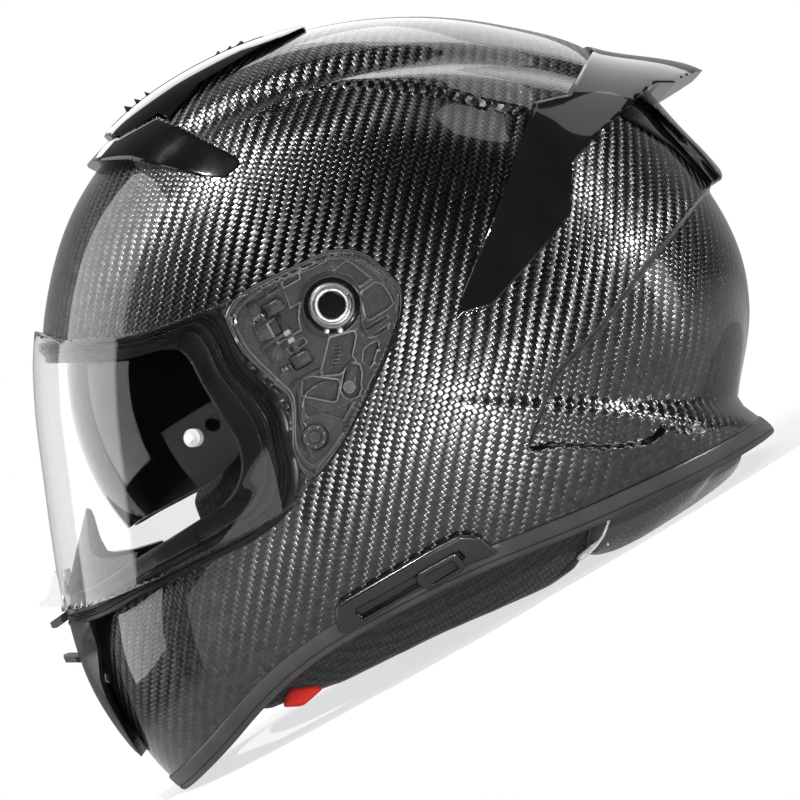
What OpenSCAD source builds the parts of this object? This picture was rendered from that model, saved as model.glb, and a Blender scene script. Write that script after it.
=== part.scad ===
// Full face helmet with a carbon shell, a clear shield, a drop-down sun shield, vents and a padded liner.
// The front of the helmet looks along -X and +Y is the wearer's right.
// Every piece is drawn upright, as the helmet is worn, round the ear point midway between the temples.
// The finished helmet is then set down on its rim, so that its lowest points lie on the plane z = 0.

/* [Shell] */
// Half of the shell's width at the temples
half_width = 124; // [118:1:130]
// Wall of the composite shell
shell_wall = 3; // [2.5:0.5:4]
// Squareness of the shell's cross sections, where 2 is an ellipse
shell_square = 2.3; // [2.1:0.05:2.5]
// Share by which the shell narrows from the temples to the jaw
jaw_taper = 0.07; // [0:0.01:0.12]
// Height of the rubber trim below the shell's lower edge
trim_height = 9.5; // [7:0.5:12]
// How far the rubber trim stands out of the shell
trim_proud = 1; // [0.5:0.25:2]
// Thickness of the rubber trim, measured from outside to inside
trim_depth = 9; // [7:0.5:12]
// How far the lower edge flares out behind the neck
flare_out = 16; // [6:1:18]

/* [Shield] */
// Thickness of the clear shield
shield_thick = 2.2; // [1.8:0.1:2.6]
// Gap between the shell and the shield that swings over it
shield_gap = 1.6; // [1.4:0.1:2.4]
// Diameter of the two pins that hold the anti-fog lens
lens_pin_d = 7.6; // [6:0.2:9]
// Thickness of the dark sun shield
sun_thick = 2; // [1.6:0.1:2.4]
// How far the sides of the sun shield lie inside the shell's widest places
sun_inset = 21; // [20:0.5:23]

/* [Side mechanism] */
// How far the outer faces of the base plates lie inside the shell's widest places
plate_inset = 9.5; // [9:0.5:11]
// Thickness of the base plates
plate_thick = 3.5; // [3:0.25:4]
// Radius of the turning hub that carries the shield
hub_r = 9.8; // [9:0.1:11]
// Radius of the fixed pivot pin in the hub
pivot_r = 5.4; // [4.5:0.1:6]

/* [Liner] */
// Half of the width of the room for the head
head_half_width = 78; // [74:1:82]
// Thickness of the crown pad
crown_pad_thick = 8; // [6:0.5:10]
// Half of the height of the neck roll
roll_half_height = 13; // [11:0.5:14]
// Half of the depth of the neck roll, from the inside to the outside
roll_half_depth = 16; // [14:0.5:18]
// Width of the chin strap webbing
strap_w = 25; // [20:1:28]
// Thickness of the chin strap webbing
strap_thick = 2.4; // [2:0.1:3]

/* [Fit] */
// Gap between fixed neighbours
fit = 0.3; // [0.25:0.05:0.5]
// Gap between a moving piece and its neighbours
run = 0.6; // [0.5:0.1:1]

/* [Hidden] */

rest_tilt = 30;              // the worn helmet turns this far forward when it stands on its rim
rest_x = 0.54;               // brings the box's middle onto the origin
rest_z = 103.4;              // height of the ear point over the table
far = 400;                   // longer than the helmet in any direction
segs = 48;                   // facets round a skin's outline
rings = 18;                  // facets across a skin, from side to side

pivot = [-28, 37.5];         // axis of the clear shield, in the side view
sun_pivot = [-40, 20];       // axis of the sun shield, in the side view
plate_face = half_width - plate_inset;
plate_inner = plate_face - plate_thick;
dish_face = plate_inner - fit;
sun_half_width = half_width - sun_inset;

flare_height = 5.5;          // degrees below the ear point in which the rear flare reaches its full size

// Radius of the shell's side outline every 15 degrees, from the rear over the crown to the chin.
shell_r = [151, 161.5, 168, 167.5, 176, 172, 169.7, 169, 168.5, 169, 168, 163.5,
           159.3, 157.3, 161.5, 183, 199, 204, 190, 173, 164, 159, 157, 155];

// What each skin adds to the shell's outline, at the same angles.
shield_out = shield_gap + shield_thick;
shield_add = [0, 0, 0, 0, 0, 0, 0, 0, 0, 0, 0.5, 1, 0.3, 3, 10.3, 14, 8, 2, 0, 0, 0, 0, 0, 0];
top_vent_add = [0, 0, 0, 0, 0, 0, 0, 2.4, 5, 7.2, 8, 6, 0, 0, 0, 0, 0, 0, 0, 0, 0, 0, 0, 0];
brow_add = [0, 0, 0, 0, 0, 0, 0, 1, 2, 5, 10.5, 12, 4, 0, 0, 0, 0, 0, 0, 0, 0, 0, 0, 0];
spoiler_add = [0, 8, 30, 32, 3.2, 2.5, 2.5, 2.5, 0, 0, 0, 0, 0, 0, 0, 0, 0, 0, 0, 0, 0, 0, 0, 0];
chin_add = [0, 0, 0, 0, 0, 0, 0, 0, 0, 0, 0, 0, 2, 7, 13, 8, 3, 2, 0, 0, 0, 0, 0, 0];

// Radius of the room for the head at the same angles, and of the sun shield round its own axis.
head_r = [104, 108, 112, 117, 121, 123, 123, 121, 117, 112, 106, 101,
          99, 101, 108, 125, 150, 175, 185, 180, 160, 135, 115, 106];
sun_r = [for (i = [0:23]) i < 12 ? 107 : i < 16 ? 107 + 1.6 * (i - 11) : 114];

// Side outlines, as x and z from the ear point.
rim_line = [[-140, -206], [-103.5, -169.2], [-82, -146], [-63.4, -124], [-46, -107.5], [-27.2, -94.2],
            [3, -77.5], [33.5, -63.2], [83.7, -43.1], [129.2, -22.8], [159.8, -8.1], [200, 10]];
eyeport_line = [[-185, 22], [-119.7, 24], [-96, 29], [-79, 35], [-71.5, 27], [-66, 14], [-55, 2],
                [-48.5, -8], [-46, -20], [-43.5, -32], [-47, -46], [-62.6, -59], [-84.6, -70],
                [-110, -83], [-133.7, -95.5], [-185, -112]];
gasket_inner = [[-185, 14], [-122, 15], [-98, 19.5], [-89, 17], [-82, 5], [-74, -8], [-67, -20],
                [-66, -32], [-72, -43], [-88, -54], [-112, -69], [-135, -83], [-185, -100]];
gasket_step = [[-185, 18], [-121, 19.5], [-98, 24], [-85, 24], [-76, 10], [-66, -4], [-58, -20],
                [-56, -34], [-62, -46], [-75, -57], [-100, -71.5], [-134, -88.5], [-185, -106]];
mech_line = [[-72, 35], [-62.7, 44.7], [-41.3, 55.3], [-28.9, 60.7], [-18.6, 60.7], [-10.3, 56.6],
             [0, 46.3], [1.7, 40], [0.8, 31.8], [-2, 23.5], [-8.3, 9], [-16.5, -7.4], [-24.8, -21.9],
             [-35.1, -33.5], [-41.5, -29.5], [-44.2, -22], [-45, -3], [-51.6, 5], [-64, 17.3], [-70, 27]];
shield_line = [[-185, 23.4], [-146, 24], [-120.3, 25.8], [-101.5, 29.2], [-77, 37.5], [-61.7, 43],
               [-41, 53.5], [-28.5, 58.5], [-18.6, 58.7], [-11.3, 55], [-2, 45], [-0.3, 39],
               [-1.2, 31.5], [-4, 23], [-10, 8.5], [-18, -8], [-26, -21.5], [-35.5, -32.5], [-43, -44],
               [-60, -55.5], [-84.6, -67.5], [-110, -80], [-143, -92.5], [-185, -96]];

// Cubic curve through the middle two of four values, at share t between them.
function curve4(a, b, c, d, t) =
    0.5 * (2 * b + (c - a) * t + (2 * a - 5 * b + 4 * c - d) * t * t + (3 * b - a - 3 * c + d) * t * t * t);

// Value of a list that runs once round the circle, at an angle.
function round_list(values, angle) =
    let (n = len(values), s = angle / 360 * n, i = floor(s))
    curve4(values[(i - 1 + n) % n], values[i % n], values[(i + 1) % n], values[(i + 2) % n], s - i);

// Open line through its points, with extra points between them.
function smooth_line(p, steps = 4) =
    let (last = len(p) - 1)
    [for (i = [0:last - 1], t = [0:steps - 1])
        curve4(p[max(i - 1, 0)], p[i], p[i + 1], p[min(i + 2, last)], t / steps), p[last]];

// Closed line through its points, with extra points between them.
function smooth_loop(p, steps = 3) =
    let (n = len(p))
    [for (i = [0:n - 1], t = [0:steps - 1])
        curve4(p[(i - 1 + n) % n], p[i], p[(i + 1) % n], p[(i + 2) % n], t / steps)];

function ease(t) = let (s = min(max(t, 0), 1)) s * s * (3 - 2 * s);
function narrowing(z) = 1 - jaw_taper * ease((10 - z) / 130);
function unit(v) = v / norm(v);
function sum_lists(a, b) = [for (i = [0:len(a) - 1]) a[i] + b[i]];

// How far the shell's lower edge flares out behind the neck, at an angle.
function rim_flare(angle) =
    flare_out * ease((360 - angle) / flare_height) * (1 - ease((360 - angle - 8) / 22));

// Angles round an outline, closer together where the rear edge flares.
function skin_angles(n, flared) = concat([for (i = [0:n - 1]) i * 360 / n], flared ? [355, 357.5] : []);

// Point of a skin at an angle round its side outline and a turn from the left side to the right one.
function skin_point(radii, half_w, square, grow, centre, flared, angle, turn) =
    let (flare = flared && angle > 320 ? rim_flare(angle) : 0,
         r = (round_list(radii, angle) + grow + flare) * pow(sin(turn), 2 / square),
         c = cos(turn),
         y = -sign(c) * pow(abs(c), 2 / square) * (half_w + grow),
         z = centre[1] + r * sin(angle))
    [centre[0] + r * cos(angle), y * narrowing(z), z];

// Half width of the shell at a point of the side view, for pieces that sit on it.
function shell_half(x, z) =
    let (a = (atan2(z, x) + 360) % 360, share = norm([x, z]) / round_list(shell_r, a))
    half_width * pow(1 - pow(min(share, 1), shell_square), 1 / shell_square) * narrowing(z);

// Closed egg with a given side outline, half width and squareness, grown by some millimetres.
module skin(radii, half_w = half_width, square = shell_square, grow = 0, centre = [0, 0], flared = true,
            round = segs, across = rings) {
    closed_rows(skin_point(radii, half_w, square, grow, centre, flared, 0, 0),
        [for (j = [1:across - 1]) [for (angle = skin_angles(round, flared))
            skin_point(radii, half_w, square, grow, centre, flared, angle, j * 180 / across)]],
        skin_point(radii, half_w, square, grow, centre, flared, 0, 180));
}

module shell_skin(grow = 0) skin(shell_r, grow = grow);
// Skin inside the shell, with half as many facets.
module inner_skin(grow = 0) skin(shell_r, grow = grow - shell_wall, round = segs / 2, across = rings / 2);
module shield_skin(grow = 0) skin(sum_lists(shell_r, shield_add), grow = shield_out + grow);

// A moulded skin is kept as one faceted surface.
module moulded() resize([0, 0, 0]) children();

// Prism along Y of a side outline, between two distances from the middle plane, on the left side.
module side_slab(from, to) translate([0, -from, 0]) rotate([90, 0, 0]) linear_extrude(to - from) children();
// Prism along Y of a side outline, right through the helmet.
module through() rotate([90, 0, 0]) linear_extrude(far, center = true) children();
module both_sides() { children(); mirror([0, 1, 0]) children(); }
module on_side(x, z, y) translate([x, -y, z]) rotate([90, 0, 0]) children();

module above_rim() polygon(concat(smooth_line(rim_line, 2), [[200, 250], [-250, 250], [-250, -206]]));
module mech_area(grow = 0) offset(delta = grow) polygon(smooth_loop(mech_line, 2));
module eyeport_area() polygon(smooth_line(eyeport_line, 2));

// Turns the worn helmet forward onto its rim, with the ear point over the origin.
module set_down() translate([rest_x, 0, rest_z]) rotate([0, rest_tilt, 0]) children();

module outer_shell() color([0.13, 0.13, 0.14]) set_down() moulded() difference() {
    shell_skin();
    // inside, less the walls and floor of the side recesses
    difference() {
        inner_skin();
        both_sides() side_slab(dish_face - shell_wall, half_width) mech_area(shell_wall);
    }
    through() eyeport_area();
    through() difference() { square(4 * far, center = true); above_rim(); }
    both_sides() side_slab(dish_face, half_width + 5) mech_area();
    // air inlets under the crown vent and the brow vent, and outlets under the spoiler
    both_sides() {
        translate([-96, -14, 130]) rotate([0, 38, 0]) cube([26, 12, 60], center = true);
        on_side(screw_at[0], screw_at[1], dish_face - 2 * shell_wall)
            cylinder(r = 2.2, h = 3 * shell_wall, $fn = 24);
        translate([-122, -20, 96]) rotate([0, 52, 0]) cube([12, 20, 60], center = true);
        translate([112, -26, 118]) rotate([0, -46, 0]) cube([14, 26, 60], center = true);
    }
    // air inlet behind the chin vent
    translate([-132, 0, -118]) cube([60, 46, 12], center = true);
}

// Room for the head, grown by some millimetres.
module head_room(grow = 0)
    skin(head_r, head_half_width, shell_square, grow, flared = false, round = 30, across = 10);

// Curve of the sun shield about its own axis, grown by some millimetres.
sun_square = 2.4;
module sun_skin(grow = 0, radii = sun_r)
    skin(radii, sun_half_width, sun_square, grow, sun_pivot, false, 36, 14);
// Side outline of the liner's room for the sun shield.
sun_room_line = [[-30, -14], [-30, 70], [-58, 110], [-90, 126], [-125, 140], [-far, far], [-far, -99]];

module impact_liner() color([0.17, 0.17, 0.18]) set_down() moulded() difference() {
    inner_skin(-fit);
    head_room(crown_pad_thick + fit);
    // the face and everything below the ears stays open
    through() offset(delta = fit) eyeport_area();
    through() polygon([[-far, 29], [-92, 33], [-74, 22], [-62, -6], [-62, -38], [40, -38], [70, -30],
                       [150, 4], [far, 60], [far, -far], [-far, -far]]);
    // room for the sun shield when it is drawn up
    difference() {
        through() polygon(sun_room_line);
        sun_skin(-sun_thick - 2 * run);
    }
    // room behind the side recesses, down to the arms of the sun shield
    both_sides() side_slab(dish_face - shell_wall - fit, half_width) mech_area(shell_wall + fit);
    both_sides() side_slab(sun_half_width - 6, half_width) translate(sun_pivot) circle(36);
}

chin_liner_thick = 21;
module chin_liner() color([0.17, 0.17, 0.18]) set_down() moulded() difference() {
    intersection() {
        inner_skin(-fit);
        through() intersection() {
            offset(delta = -5) above_rim();
            polygon([[-200, -140], [-200, -112], [-136, -112], [-110, -100], [-84, -88], [-72, -82],
                     [-72, -140]]);
        }
    }
    inner_skin(-chin_liner_thick);
    translate([-132, 0, -118]) cube([80, 46, 12], center = true);
}

module crown_pad() color([0.2, 0.2, 0.22]) set_down() moulded() difference() {
    head_room(crown_pad_thick);
    head_room();
    through() polygon([[-far, 38], [-84, 38], [-52, 22], [40, 10], [90, -6], [far, -6], [far, -far],
                       [-far, -far]]);
    // channels for air between the pad's strips
    for (y = [-44, 0, 44]) translate([-far / 2, y - 3, 60]) cube([far, 6, far]);
}

// Cheek pad: a crowned cushion with drawn-in sides and one sewn channel across it.
cheek_r = [54, 70, 65, 54, 46, 42, 41, 42, 46, 53, 62, 69, 70, 72, 72, 64, 41, 31, 26, 24, 24, 26, 29, 38];
cheek_centre = [4, -79];
cheek_y = half_width - 35;
cheek_half = 21;
cheek_square = 3;
cheek_dip = 2.2;             // depth of the sewn channel
function cheek_point(angle, turn, grow) =
    let (s = pow(sin(turn), 2 / cheek_square), c = cos(turn), r = (round_list(cheek_r, angle) + grow) * s,
         x = cheek_centre[0] + r * cos(angle), z = cheek_centre[1] + r * sin(angle),
         seam = z - cheek_centre[1] + 0.4 * (x - cheek_centre[0]) - 8,
         dip = cheek_dip * exp(-pow(seam / 4, 2)) * abs(c),
         middle = cheek_y - 0.08 * abs(x - 8))
    [x, -middle - sign(c) * ((cheek_half + grow) * pow(abs(c), 2 / cheek_square) - dip), z];

// Closed skin from a first pole, rows of points and a last pole.
module closed_rows(first, rows, final) {
    n = len(rows[0]);
    m = len(rows);
    last = m * n + 1;
    polyhedron(concat([first], [for (row = rows, p = row) p], [final]), concat(
        [for (i = [0:n - 1]) [0, 1 + (i + 1) % n, 1 + i]],
        [for (j = [0:m - 2], i = [0:n - 1])
            let (a = 1 + j * n + i, b = 1 + j * n + (i + 1) % n) [a, b, b + n]],
        [for (j = [0:m - 2], i = [0:n - 1])
            let (a = 1 + j * n + i, b = 1 + j * n + (i + 1) % n) [a, b + n, a + n]],
        [for (i = [0:n - 1]) [last, last - n + i, last - n + (i + 1) % n]]));
}
module cheek_form(grow = 0, n = 26, m = 10)
    closed_rows(cheek_point(0, 0, grow),
        [for (j = [1:m - 1]) [for (i = [0:n - 1]) cheek_point(i * 360 / n, j * 180 / m, grow)]],
        cheek_point(0, 180, grow));
// The pad's back lies against the rim trim, and the strap runs through its slot.
module cheek_pad() difference() {
    intersection() {
        cheek_form();
        shell_skin(trim_proud - trim_depth - fit);
    }
    ribbon(strap_run, strap_w + 2, strap_thick + 2);
}
module cheek_pad_left() color([0.16, 0.16, 0.17]) set_down() moulded() cheek_pad();
module cheek_pad_right() color([0.16, 0.16, 0.17]) set_down() moulded() mirror([0, 1, 0]) cheek_pad();

// Neck roll: a padded horseshoe that lies in the plane of the table, flat where it stands on it.
roll_mid = 30;
roll_a = 77.3;
roll_b = half_width - 44.5;
roll_ends = 88;
function roll_point(s, a) =
    let (end = sqrt(max(0, 1 - pow(abs(s) / roll_ends, 8))), k = 0.25 + 0.75 * end,
         w = roll_half_depth * k * cos(a), h = roll_half_height * k * sin(a))
    [roll_mid + (roll_a + w) * cos(s), (roll_b + w * 0.7) * sin(s), max(0, roll_half_height - 0.5 + h)];
// Closed bar through rows of points, with a flat face at each end.
module capped_rows(rows) {
    n = len(rows[0]);
    m = len(rows) - 1;
    polyhedron([for (row = rows, p = row) p], concat(
        [for (j = [0:m - 1], i = [0:n - 1]) let (a = j * n + i, b = j * n + (i + 1) % n) [a, b, b + n]],
        [for (j = [0:m - 1], i = [0:n - 1]) let (a = j * n + i, b = j * n + (i + 1) % n) [a, b + n, a + n]],
        [[for (i = [n - 1:-1:0]) i]],
        [[for (i = [0:n - 1]) m * n + i]]));
}
module neck_roll() color([0.12, 0.12, 0.13]) {
    n = 12;
    m = 28;
    capped_rows([for (j = [0:m]) [for (i = [0:n - 1])
        roll_point(-roll_ends + 2 * roll_ends * j / m, (i + 0.5) * 360 / n)]]);
}
// White piping over each side of the neck roll.
piping_r = 1.1;
piping_at = 80;
module neck_piping() color([0.92, 0.92, 0.92]) both_sides() capped_rows(
    [for (j = [0:10]) let (a = -40 + 11 * j, p = roll_point(-piping_at, a), q = roll_point(-piping_at, a + 2),
        out = unit(cross(q - p, roll_point(-piping_at + 2, a) - p)), along = unit(cross(q - p, out)))
        [for (i = [0:5]) p - out * (piping_r + fit) + piping_r * (cos(60 * i) * out - sin(60 * i) * along)]]);

module rim_trim() color([0.2, 0.2, 0.2]) moulded() difference() {
    set_down() difference() {
        intersection() {
            shell_skin(trim_proud);
            through() difference() { offset(delta = trim_height) above_rim(); above_rim(); }
        }
        shell_skin(trim_proud - trim_depth);
    }
    // flat where the chin stands on the table
    translate([-far, -far, -2 * far]) cube(2 * far);
}

// Rubber seal round the eyeport, ribbed, thick enough to meet the closed shield.
gasket_deep = 6;             // how far the seal reaches in from the shell's inside
module eyeport_gasket() color([0.1, 0.1, 0.1]) set_down() moulded() difference() {
    intersection() {
        shield_skin(-shield_thick - run);
        through() difference() {
            offset(delta = -fit) eyeport_area();
            polygon(smooth_line(gasket_inner, 2));
        }
    }
    inner_skin(-gasket_deep);
    // room for the sun shield on its way up, and for the lever under the shield
    sun_skin(run, [for (r = sun_r) max(sun_r)]);
    lock_room();
    // step between the outer rib and the lip that the shield presses on
    difference() {
        through() polygon(smooth_line(gasket_step, 2));
        shield_skin(-shield_thick - run - 1.6);
    }
}

lens_pin_at = [-87.4, -17];
lens_pin_turn = 22;
module lens_pin_seat() both_sides() translate([lens_pin_at[0], -shield_half_at_pin, lens_pin_at[1]])
    rotate([0, 0, -lens_pin_turn]) rotate([90, 0, 0]) children();
shield_half_at_pin = shell_half(lens_pin_at[0], lens_pin_at[1]) + shield_out + 1.2;

thumb_w = 26;
thumb_line = [[-150.6, -93.5], [-151.5, -78], [-154.2, -77.9], [-156.5, -88], [-160.7, -92], [-160.7, -93.6]];
// Clear shield with its arms over the side recesses and a thumb tab in the middle of its lower edge.
module shield() color([0.75, 0.8, 0.85, 0.4]) set_down() moulded() difference() {
    union() {
        difference() {
            intersection() { shield_skin(); through() polygon(smooth_loop(shield_line, 2)); }
            shield_skin(-shield_thick);
        }
        rotate([90, 0, 0]) linear_extrude(thumb_w, center = true) polygon(thumb_line);
    }
    lens_pin_seat() cylinder(r = lens_pin_d / 4 + 0.2, h = 30, center = true, $fn = 24);
}

module lens_pins() color([0.8, 0.8, 0.82]) set_down() lens_pin_seat() {
    translate([0, 0, -7]) cylinder(d = lens_pin_d, h = 3.4, $fn = 48);
    translate([0, 0, -3.6]) cylinder(d = lens_pin_d / 2, h = 4.2, $fn = 48);
}

sun_line = [[-165, 38], [-110, 44], [-75, 44], [-50, 33], [-35, 29], [-30.5, 20], [-34, 11], [-48, 3],
            [-64, -20], [-77.7, -34], [-98.9, -46], [-112, -53], [-122, -59], [-140, -66], [-170, -70]];
// Dark sun shield, in its lowered place, with an arm to its pin on each side and room for the nose.
module sun_shield() color([0.1, 0.1, 0.11, 0.8]) set_down() moulded() difference() {
    intersection() { sun_skin(); through() polygon(sun_line); }
    sun_skin(-sun_thick);
    translate([-200, 0, -68]) rotate([0, 90, 0]) cylinder(r = 21, h = 120, $fn = 36);
    translate([sun_pivot[0], 0, sun_pivot[1]]) rotate([90, 0, 0])
        cylinder(r = 4 + run, h = far, center = true, $fn = 32);
}

module sun_shield_pivots() color([0.5, 0.5, 0.52]) set_down() both_sides() {
    on_side(sun_pivot[0], sun_pivot[1], sun_half_width - 5) cylinder(r = 7, h = 2, $fn = 48);
    on_side(sun_pivot[0], sun_pivot[1], sun_half_width - 3)
        cylinder(r = 4, h = dish_face - shell_wall - sun_half_width + 3, $fn = 48);
}

// Cover over the sun shield's slider, on the left of the rim.
slide_from = [-17, -90.5];
slide_to = [25, -66.3];
slide_dir = (slide_to - slide_from) / norm(slide_to - slide_from);
slide_turn = atan2(slide_dir[1], slide_dir[0]);
tab_len = 20;
slot_w = 5;
housing_line = [[-26.4, -88], [-20, -83], [12.6, -64.5], [25.1, -57.5], [33.5, -57.5], [41.9, -65.3],
                [27.2, -74], [-8, -94], [-22, -101.5], [-27.2, -96]];
module along_slide(a, b, w)
    translate(slide_from) rotate(slide_turn) translate([a, -w / 2]) square([b - a, w]);
slide_len = norm(slide_to - slide_from);
module left_side() intersection() {
    children();
    translate([-far / 2, -far, -far / 2]) cube([far, far, far]);
}
module sun_slider_housing() color([0.08, 0.08, 0.08]) set_down() moulded() left_side() difference() {
    intersection() { shell_skin(3.4); through() polygon(smooth_loop(housing_line, 2)); }
    shell_skin(trim_proud + fit);
    through() along_slide(0, slide_len, slot_w);
}
module sun_slider() color([0.15, 0.15, 0.16]) set_down() moulded() left_side() {
    difference() {
        intersection() { shell_skin(6.4); through() along_slide(slide_len - tab_len, slide_len, 10); }
        shell_skin(4.4);
    }
    difference() {
        intersection() {
            shell_skin(4.6);
            through() along_slide(slide_len - tab_len + run, slide_len - run, slot_w - 2 * run);
        }
        shell_skin(trim_proud + 2 * fit);
    }
}

// Base plate of the side mechanism: a flat plate with pockets, a rib, and seats for pin and screw.
screw_at = [-35.1, -16.5];
lever_at = [-20.8, 4];
latch_turn = 30;
module base_plate() {
    difference() {
        side_slab(plate_inner, plate_face) difference() {
            mech_area(-fit);
            offset(delta = fit) eyeport_area();
        }
        on_side(pivot[0], pivot[1], plate_inner - 1)
            cylinder(r = pivot_r + 0.1, h = plate_thick + 2, $fn = 48);
        on_side(screw_at[0], screw_at[1], plate_inner - 1) cylinder(r = 2.1, h = plate_thick + 2, $fn = 32);
        on_side(lever_at[0], lever_at[1], plate_face - 1.6) cylinder(r = 1.8, h = 3, $fn = 32);
        // pockets
        side_slab(plate_face - 1.4, plate_face + 1) {
            translate([-19.8, 53.3]) square([11, 6], center = true);
            translate([-10.5, 46.3]) rotate(-40) square([9, 6], center = true);
            translate([-12.5, 27.7]) square([7, 5], center = true);
            translate([-14, 17]) rotate(60) square([6, 4], center = true);
            translate([-30, -4]) rotate(60) square([12, 7], center = true);
            translate([-54, 17]) rotate(38) square([8, 4], center = true);
        }
        // toothed slot
        for (i = [0:4]) side_slab(plate_face - 1, plate_face + 1)
            translate([-26, 13.4 + 1.5 * i]) square([4.2, 0.8], center = true);
    }
    side_slab(plate_face, plate_face + 1.4) {
        translate([-44, 50]) rotate(20) square([14, 1.6], center = true);
        translate([-25, -14]) rotate(60) square([9, 1.6], center = true);
    }
}
module base_plate_left() color([0.18, 0.18, 0.18]) set_down() base_plate();
module base_plate_right() color([0.18, 0.18, 0.18]) set_down() mirror([0, 1, 0]) base_plate();

hub_top = shell_half(pivot[0] - 7, pivot[1] + 6) + shield_gap - 0.7;
module pivot_pin() on_side(pivot[0], pivot[1], plate_inner) {
    cylinder(r = pivot_r, h = hub_top - plate_inner - 1.2, $fn = 48);
}
module pivot_pin_left() color([0.1, 0.1, 0.1]) set_down() pivot_pin();
module pivot_pin_right() color([0.1, 0.1, 0.1]) set_down() mirror([0, 1, 0]) pivot_pin();

// Hub that turns on the pivot pin and carries an arm of the shield.
module shield_hub() on_side(pivot[0], pivot[1], plate_face + 0.2) difference() {
    union() {
        cylinder(r = hub_r, h = hub_top - plate_face - 0.2, $fn = 64);
        cylinder(r = hub_r + 2, h = 1.6, $fn = 64);
    }
    translate([0, 0, -1]) cylinder(r = pivot_r + 0.2, h = 30, $fn = 48);
}
module shield_hub_left() color([0.55, 0.55, 0.57]) set_down() shield_hub();
module shield_hub_right() color([0.55, 0.55, 0.57]) set_down() mirror([0, 1, 0]) shield_hub();

// Latch: two blocks on a thin slide that holds the hub's end stop, pushed by two springs.
latch_a = [-51.9, 36.3];
latch_b = [-40.4, 15.2];
latch_len = 9;
module latch_blocks() {
    for (p = [latch_a, latch_b])
        side_slab(plate_face + 0.2, plate_face + 3.6) translate(p) rotate(latch_turn)
            square([latch_len, 7], center = true);
    side_slab(plate_face + 0.2, plate_face + 1.2) translate((latch_a + latch_b) / 2)
        rotate(atan2(latch_b[1] - latch_a[1], latch_b[0] - latch_a[0]))
            square([norm(latch_b - latch_a), 2.6], center = true);
}
module shield_latch_left() color([0.12, 0.12, 0.12]) set_down() latch_blocks();
module shield_latch_right() color([0.12, 0.12, 0.12]) set_down() mirror([0, 1, 0]) latch_blocks();

// Lever that draws the latch back, on a short pin of its own.
module release_lever() {
    side_slab(plate_face + 0.2, plate_face + 2.6) hull() {
        translate(lever_at) circle(3, $fn = 32);
        translate(lever_at + [1, 7]) circle(2.2, $fn = 32);
    }
    on_side(lever_at[0], lever_at[1], plate_face - 1.5) cylinder(r = 1.6, h = 2.5, $fn = 32);
}
module release_lever_left() color([0.3, 0.3, 0.3]) set_down() release_lever();
module release_lever_right() color([0.3, 0.3, 0.3]) set_down() mirror([0, 1, 0]) release_lever();

module base_screws() color([0.25, 0.25, 0.26]) set_down() both_sides() {
    on_side(screw_at[0], screw_at[1], plate_face) difference() {
        cylinder(r = 5.4, h = 2, $fn = 48);
        translate([0, 0, 0.8]) cylinder(r = 2.6, h = 2, $fn = 6);
    }
    on_side(screw_at[0], screw_at[1], dish_face - shell_wall)
        cylinder(r = 2, h = plate_face + fit - dish_face + shell_wall - 0.3, $fn = 32);
}

// Crown vent: a smooth plate from the brow to the crown, with a track for its slider.
top_vent_line = [[-134.5, 117], [-150, 150], [-45, 172], [-42, 163.5], [-49, 158.9], [-66, 149.6],
                 [-87.2, 136], [-99.8, 120.2], [-104.6, 123], [-118, 114.5], [-126, 113.5]];
top_vent_r = sum_lists(shell_r, top_vent_add);
module top_vent_skin(grow = 0) skin(top_vent_r, grow = grow);
// Part of a skin between two angles over the middle of the helmet.
module track(from, to, w) intersection() {
    translate([-far / 2, -w / 2, 0]) cube([far, w, far]);
    through() polygon([[0, 0], far * [cos(to), sin(to)], far * [cos(from), sin(from)]]);
}
module top_vent() color([0.08, 0.08, 0.09]) set_down() moulded() difference() {
    intersection() { top_vent_skin(); through() polygon(top_vent_line); }
    shell_skin(fit);
    difference() { track(107.5, 137.5, 26); top_vent_skin(-2.4); }
}
// Slider of the crown vent with three finger ribs at each end.
module top_vent_slider() color([0.1, 0.1, 0.1]) set_down() moulded() {
    difference() {
        intersection() { top_vent_skin(-0.2); track(111, 137, 24.6); }
        top_vent_skin(-2.1);
    }
    for (a = [134.3, 132, 129.7, 118.5, 116.3, 114]) rotate([0, -a, 0])
        translate([round_list(top_vent_r, a) - 1.5, -9, -1]) cube([a > 125 ? 3.4 : 4.2, 18, 2]);
}

brow_line = [[-149, 103.9], [-134, 118], [-122, 112.5], [-104.6, 121], [-94.6, 115.7], [-69.3, 102.9],
             [-65.9, 98.3], [-73.5, 92], [-84.6, 93.5], [-103.2, 98.5], [-116, 101.6], [-132, 102.3]];
module brow_skin(grow = 0) skin(sum_lists(shell_r, brow_add), grow = grow + 1.5);
module brow_vent() color([0.07, 0.07, 0.07]) set_down() moulded() difference() {
    intersection() { brow_skin(); through() polygon(brow_line); }
    shell_skin(fit);
    through() offset(delta = fit) polygon(top_vent_line);
    // air mouths on both sides of the middle rib
    both_sides() translate([-132, -22, 99]) rotate([0, -40, 0]) cube([9, 30, 16], center = true);
}

spoiler_line = [[80, 160], [85.4, 152.7], [71, 128.6], [56.5, 125], [55.7, 122], [43.9, 86.5], [33.2, 61],
                [24.8, 40.2], [23.5, 32.6], [37.3, 36.8], [49.7, 50.5], [64.5, 67.4], [70.9, 75.9],
                [72.7, 97.4], [78, 104.2], [104.4, 130.5], [110, 135], [118.8, 135.3], [121, 137.5],
                [134, 144.5], [112, 158]];
module spoiler_skin(grow = 0) skin(sum_lists(shell_r, spoiler_add), grow = grow);
module rear_spoiler() color([0.05, 0.05, 0.06]) set_down() moulded() difference() {
    intersection() { spoiler_skin(3); through() polygon(spoiler_line); }
    shell_skin(fit);
    spoiler_skin(-2.5);
}

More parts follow.
